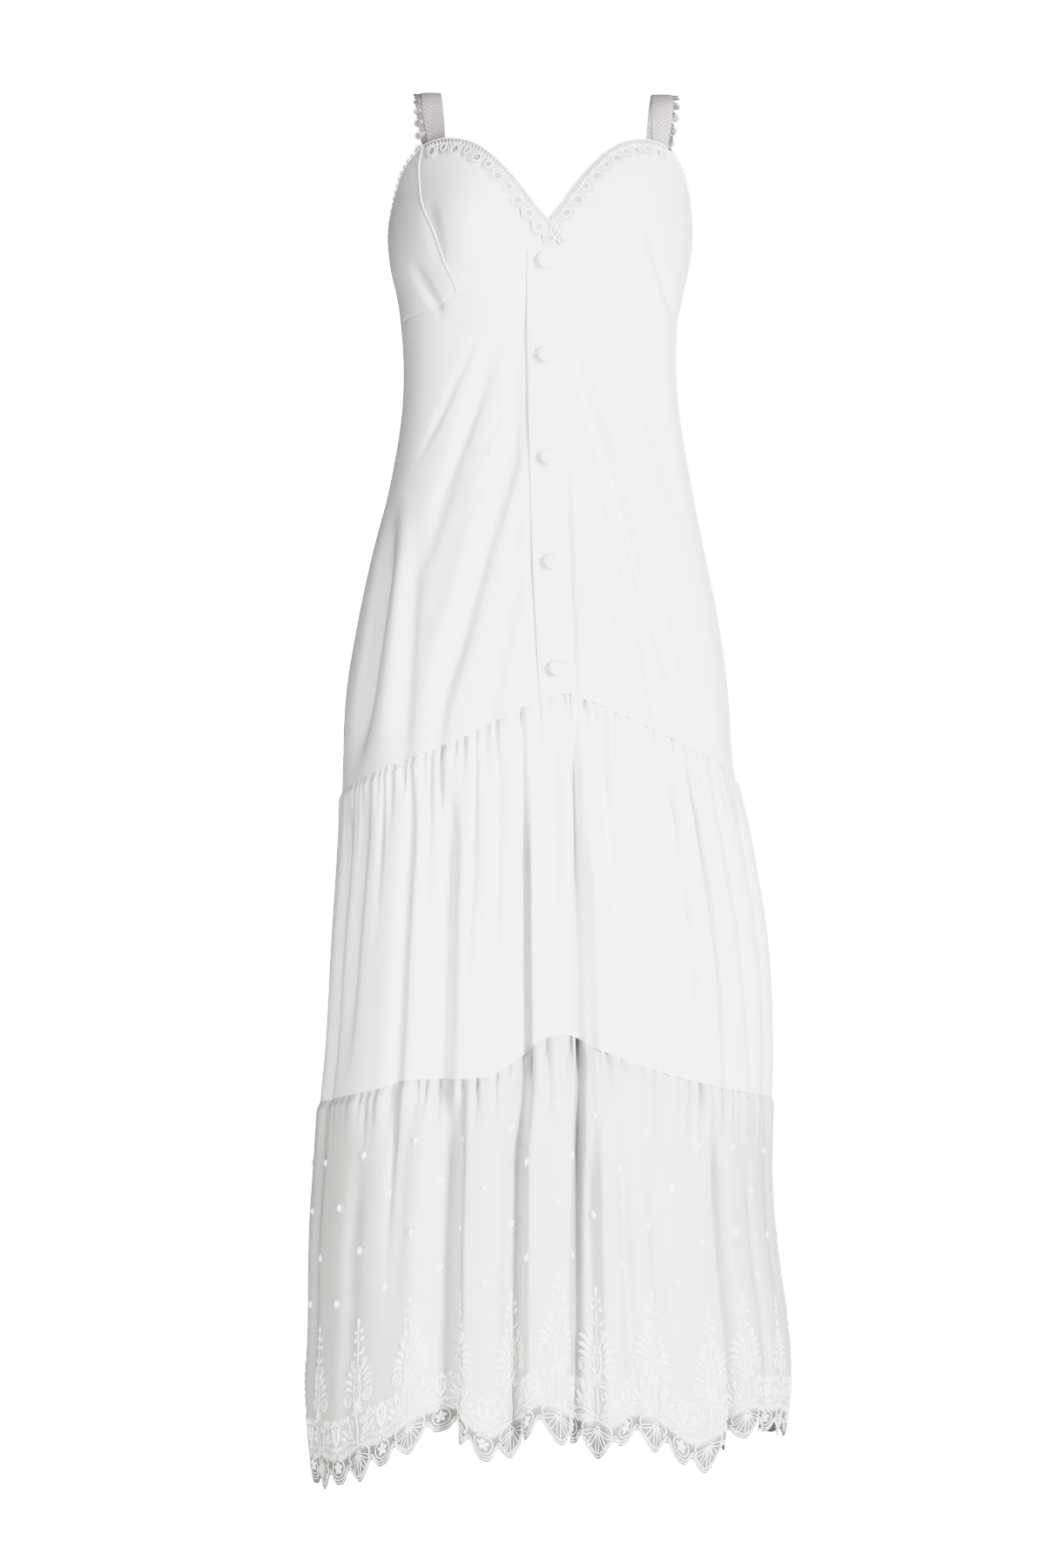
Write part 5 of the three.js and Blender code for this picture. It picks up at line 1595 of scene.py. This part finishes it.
def mixed_colour(tree, share, dark, light):
    node = tree.nodes.new("ShaderNodeMix")
    node.data_type = "RGBA"
    feed(tree, node.inputs["Factor"], share)
    node.inputs["A"].default_value = (*dark, 1)
    node.inputs["B"].default_value = (*light, 1)
    return node.outputs["Result"]


def bump(tree, height, strength, distance):
    node = tree.nodes.new("ShaderNodeBump")
    node.inputs["Strength"].default_value = strength
    node.inputs["Distance"].default_value = distance
    feed(tree, node.inputs["Height"], height)
    return node.outputs["Normal"]


def new_material(name, finish):
    """A material with the roughness and the sheen of a finish."""
    material = bpy.data.materials.new(name)
    material.use_nodes = True
    shader = material.node_tree.nodes["Principled BSDF"]
    settings = zip(("Roughness", "Sheen Weight"), FINISH[finish])
    for title, value in (*settings, ("Specular IOR Level", SPECULAR)):
        shader.inputs[title].default_value = value
    return material, material.node_tree, shader


def use_group(tree, group, **inputs):
    node = tree.nodes.new("ShaderNodeGroup")
    node.node_tree = group
    for title, value in inputs.items():
        node.inputs[title.replace("_", " ")].default_value = value
    return node.outputs


def cotton(name):
    """Woven cotton with slubs."""
    (dark, light), threads, slub, strength = COTTONS[name]
    material, tree, shader = new_material(name, "cotton")
    weave = use_group(tree, cloth_weave, Threads_per_metre=threads, Slub=slub)
    tone = spread(tree, weave["Tone"], *TONE_SPAN, 0, 1)
    tree.links.new(mixed_colour(tree, tone, dark, light), shader.inputs["Base Color"])
    tree.links.new(bump(tree, weave["Height"], strength, CLOTH_RELIEF), shader.inputs["Normal"])
    return material


def shade_over(tree, shader, share, dark, light, kept):
    """Mixes a second tone, a painted shade, over a cloth's own, which goes to the socket of the mix that is named."""
    shaded = mixed_colour(tree, share, dark, light)
    tree.links.new(shader.inputs["Base Color"].links[0].from_socket, shaded.node.inputs[kept])
    tree.links.new(shaded, shader.inputs["Base Color"])


def border_net():
    """The lower tier's cloth: fine and close, and an open net in the scallops along the hem, whose holes hold a dark,
    mostly opaque film of painted shade.
    """
    material = cotton("hem_cloth")
    tree = material.node_tree
    shader = tree.nodes["Principled BSDF"]
    along, up = uv_places(tree)
    turns = 2 * math.pi / (NET["mesh"] * MM)
    strands = []
    for hand in (1, -1):
        slant = maths(tree, "ADD", along, maths(tree, "MULTIPLY", up, hand))
        wave = maths(tree, "COSINE", maths(tree, "MULTIPLY", slant, turns / 2))
        strands.append(maths(tree, "ABSOLUTE", wave))
    strand = maths(tree, "MAXIMUM", *strands)
    open_net = spread(tree, strand, NET["strand"] - NET["soft"], NET["strand"] + NET["soft"], 0, 1)
    close = spread(tree, up, NET["open_to"] * MM, NET["close_from"] * MM, 0, 1)
    covered = maths(tree, "MAXIMUM", open_net, close)
    shade_over(tree, shader, covered, NET["shade"], HEM_TONES[1], "B")
    tree.links.new(spread(tree, covered, 0, 1, NET["film"], 1), shader.inputs["Alpha"])
    return material


def lace_net():
    """The ground of the neck lace: a pale net greyed by painted shade, and greyer, by more painted shade, in its
    header and in the middles of the rings.
    """
    material = cotton("lace_ground")
    tree = material.node_tree
    along, across = uv_places(tree)
    half_step = NECK_LACE["pitch"] * MM / 4
    aside = maths(tree, "SUBTRACT", half_step, maths(tree, "PINGPONG", along, half_step))
    below = maths(tree, "SUBTRACT", across, NECK_LACE["hole_across"] * MM)
    squares = blended(tree, aside, aside, below, below)
    hole, header = NECK_LACE["hole"] * MM, NECK_LACE["header"] * MM
    hole_painted_shade = spread(tree, maths(tree, "SQRT", squares), 0.75 * hole, hole, 1, 0)
    header_painted_shade = spread(tree, across, 0.9 * header, header, 0.5, 0)
    share = maths(tree, "MAXIMUM", hole_painted_shade, header_painted_shade)
    shade_over(tree, tree.nodes["Principled BSDF"], share, LACE_GROUND_PAINTED_SHADE_TONES[1], LACE_HOLE_PAINTED_SHADE, "A")
    return material


def thread(name):
    """Cotton thread, for lace, embroidery and stitches."""
    material, tree, shader = new_material(name, "thread")
    twist = use_group(tree, thread_twist, Fineness=FINENESS)
    tone = spread(tree, twist["Tone"], *TONE_SPAN, 0, 1)
    tree.links.new(mixed_colour(tree, tone, *THREADS[name]), shader.inputs["Base Color"])
    tree.links.new(bump(tree, twist["Height"], 0.35, THREAD_RELIEF), shader.inputs["Normal"])
    return material


def strap_tape():
    """Figured tape: small lozenges woven in, on a grey that is painted shade on the white strap."""
    material, tree, shader = new_material("strap_cloth", "tape")
    weave = use_group(tree, cloth_weave, Threads_per_metre=1500.0, Slub=0.25)
    turns = 2 * math.pi / (STRAP_FIGURE * MM)
    waves = [maths(tree, "COSINE", maths(tree, "MULTIPLY", way, turns)) for way in uv_places(tree)]
    figure = spread(tree, maths(tree, "MULTIPLY", *waves), -0.35, 0.35, 0, 1)
    height = maths(tree, "ADD", figure, maths(tree, "MULTIPLY", weave["Height"], 0.4))
    tree.links.new(mixed_colour(tree, figure, *STRAP_PAINTED_SHADE_TONES), shader.inputs["Base Color"])
    tree.links.new(bump(tree, height, 0.5, CLOTH_RELIEF), shader.inputs["Normal"])
    return material


# Studio


def set_up_camera():
    """The photograph's view: level, from four metres, a little to the wearer's right of the centre front."""
    azimuth = math.radians(CAMERA["azimuth"])
    right = Vector((math.cos(azimuth), math.sin(azimuth), 0))
    back = Vector((math.sin(azimuth), -math.cos(azimuth), 0))
    camera = bpy.data.cameras.new("camera")
    camera.sensor_fit = "VERTICAL"
    camera.sensor_height = 36
    camera.lens = camera.sensor_height * CAMERA["distance"] / CAMERA["view_height"]
    holder = bpy.data.objects.new("camera", camera)
    holder.location = right * CAMERA["aside"] + back * CAMERA["distance"] + Vector((0, 0, CAMERA["level"]))
    holder.rotation_mode = "QUATERNION"
    holder.rotation_quaternion = (-back).to_track_quat("-Z", "Y")
    bpy.context.collection.objects.link(holder)
    bpy.context.scene.camera = holder


def softbox(name, place, aim, size, power):
    light = bpy.data.lights.new(name, "AREA")
    light.shape = "RECTANGLE"
    light.size, light.size_y = size
    light.energy = power
    holder = bpy.data.objects.new(name, light)
    holder.location = place
    holder.rotation_mode = "QUATERNION"
    holder.rotation_quaternion = (Vector(aim) - Vector(place)).to_track_quat("-Z", "Y")
    bpy.context.collection.objects.link(holder)


def seen_straight(tree):
    """One where the camera sees a place directly, and not through the net of the hem."""
    path = tree.nodes.new("ShaderNodeLightPath").outputs
    direct = maths(tree, "LESS_THAN", path["Transparent Depth"], 0.5)
    return maths(tree, "MULTIPLY", path["Is Camera Ray"], direct)


def tone_curve(scene):
    """A photograph's tones: straight in the shadows, and levelling off towards white."""
    scene.view_settings.view_transform = "Standard"
    scene.view_settings.use_curve_mapping = True
    mapping = scene.view_settings.curve_mapping
    mapping.clip_max_x = TONE_CURVE[-1][0]
    curve = mapping.curves[3]
    curve.points[0].location = TONE_CURVE[0]
    curve.points[-1].location = TONE_CURVE[-1]
    for point in TONE_CURVE[1:-1]:
        curve.points.new(*point)
    mapping.update()


def studio():
    """A white surround that gives little light, least from the left, and soft lights round the dress."""
    world = bpy.data.worlds.new("studio")
    bpy.context.scene.world = world
    world.use_nodes = True
    tree = world.node_tree
    nodes, links = tree.nodes, tree.links
    seen, light = nodes["Background"], nodes.new("ShaderNodeBackground")
    seen.inputs["Color"].default_value = (1, 1, 1, 1)
    seen.inputs["Strength"].default_value = SURROUND["seen"]
    split = nodes.new("ShaderNodeSeparateXYZ")
    links.new(nodes.new("ShaderNodeTexCoord").outputs["Generated"], split.inputs[0])
    share = spread(tree, split.outputs["X"], -1, 1, 0, 1)
    links.new(mixed_colour(tree, share, SURROUND["left"], SURROUND["right"]), light.inputs["Color"])
    choice = nodes.new("ShaderNodeMixShader")
    links.new(seen_straight(tree), choice.inputs[0])
    links.new(light.outputs[0], choice.inputs[1])
    links.new(seen.outputs[0], choice.inputs[2])
    links.new(choice.outputs[0], nodes["World Output"].inputs["Surface"])
    for name, settings in SOFTBOXES.items():
        softbox(name, *settings)


def floor():
    """A wide pale floor under the dress. It shines to the camera only, to meet the white surround."""
    angles = np.radians(np.arange(0, 360, 6))
    level = np.full(len(angles), -FLOOR["drop"])
    ring = np.stack([FLOOR["radius"] * np.cos(angles), FLOOR["radius"] * np.sin(angles), level], axis=1)
    each = np.arange(len(angles))
    faces = np.stack([np.zeros(len(angles), int), each + 1, (each + 1) % len(angles) + 1], axis=1)
    piece = new_mesh("pale_floor", np.concatenate([[[0, 0, -FLOOR["drop"]]], ring]), faces.tolist())
    material, tree, shader = new_material("pale_floor", "floor")
    shader.inputs["Base Color"].default_value = (*FLOOR["colour"], 1)
    shine = mixed_colour(tree, seen_straight(tree), (0, 0, 0), FLOOR["shine"])
    tree.links.new(shine, shader.inputs["Emission Color"])
    shader.inputs["Emission Strength"].default_value = 1
    piece.data.materials.append(material)
    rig.stage(piece)


# Assembly


def sew_on(piece, slot, material, node=None):
    """Gives a piece its material and slot, makes it ride the dress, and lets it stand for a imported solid."""
    piece.data.materials.append(material)
    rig.ride(piece, BODY)
    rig.slot(piece, slot)
    if node:
        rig.replaces(piece, node)
    return piece


set_up_camera()
studio()
tone_curve(bpy.context.scene)
floor()

cloth_weave = cloth_weave_group()
thread_twist = thread_twist_group()
main_cloth, tier_cloth, button_cloth = (cotton(name) for name in ("main_cloth", "tier_cloth", "button_cloth"))
hem_cloth, strap_cloth = border_net(), strap_tape()
lace_thread, edging_thread_painted_shade = thread("lace"), thread("edging")
lace_ground = lace_net()
embroidery_thread = thread("embroidery")

cloths = {}
trims = {}
for node, piece in {**bodice(), **skirt(), "button_band": button_band()}.items():
    cloths[node] = sew_on(piece, "main_cloth", main_cloth, node)
for half in TIER_HALVES:
    hem = BorderCloth(half)
    cloths[f"tier_1_{half}"] = sew_on(tier_1_piece(half), "tier_cloth", tier_cloth, f"tier_1_{half}")
    cloths[f"tier_2_{half}"] = sew_on(tier_2_piece(hem), "hem_cloth", hem_cloth, f"tier_2_{half}")
    trims[f"tier_2_{half}"] = [sew_on(hem_embroidery(hem), "lace", embroidery_thread)]
for word, side in SIDES.items():
    strap = Strap(side, **STRAPS[word])
    cloths[f"strap_{word}"] = sew_on(strap_piece(word, strap), "strap_cloth", strap_cloth, f"strap_{word}")
    trims[f"strap_{word}"] = [sew_on(strap_lace(word, strap), "lace", edging_thread_painted_shade, f"strap_lace_{word}")]
    neck = NeckLace(word, side)
    neck_threads = sew_on(neck.threads(), "lace", lace_thread, f"neck_lace_{word}")
    cloths[f"lace_ground_{word}"] = sew_on(neck.ground(), "lace", lace_ground)
    trims[f"lace_ground_{word}"] = [neck_threads]
    seam = sew_on(cup_seam_cord(word, side), "main_cloth", main_cloth)
    armhole = sew_on(armhole_lace(word, side), "lace", lace_thread, f"armhole_lace_{word}")
    trims[f"cup_side_{word}"] = [armhole, seam]
trims["button_band"] = [sew_on(band_stitches(), "lace", lace_thread)]
for number, drop in enumerate(BUTTON_DROPS, 1):
    sew_on(covered_button(number, drop), "button_cloth", button_cloth, f"button_{number}")

for name, (width, length, share, held, rests_on) in SHEETS.items():
    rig.sheet(
        cloths[name],
        flat=(width, length),
        area=share * width * length,
        held=held,
        rests_on=rests_on,
        with_pieces=trims.get(name, []),
    )

seen_low, seen_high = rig.bounds()
with open("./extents.json", "w") as size_file:
    sizes = {"cad": [list(cad_low), list(cad_high)], "visual": [list(seen_low), list(seen_high)]}
    json.dump(sizes, size_file)
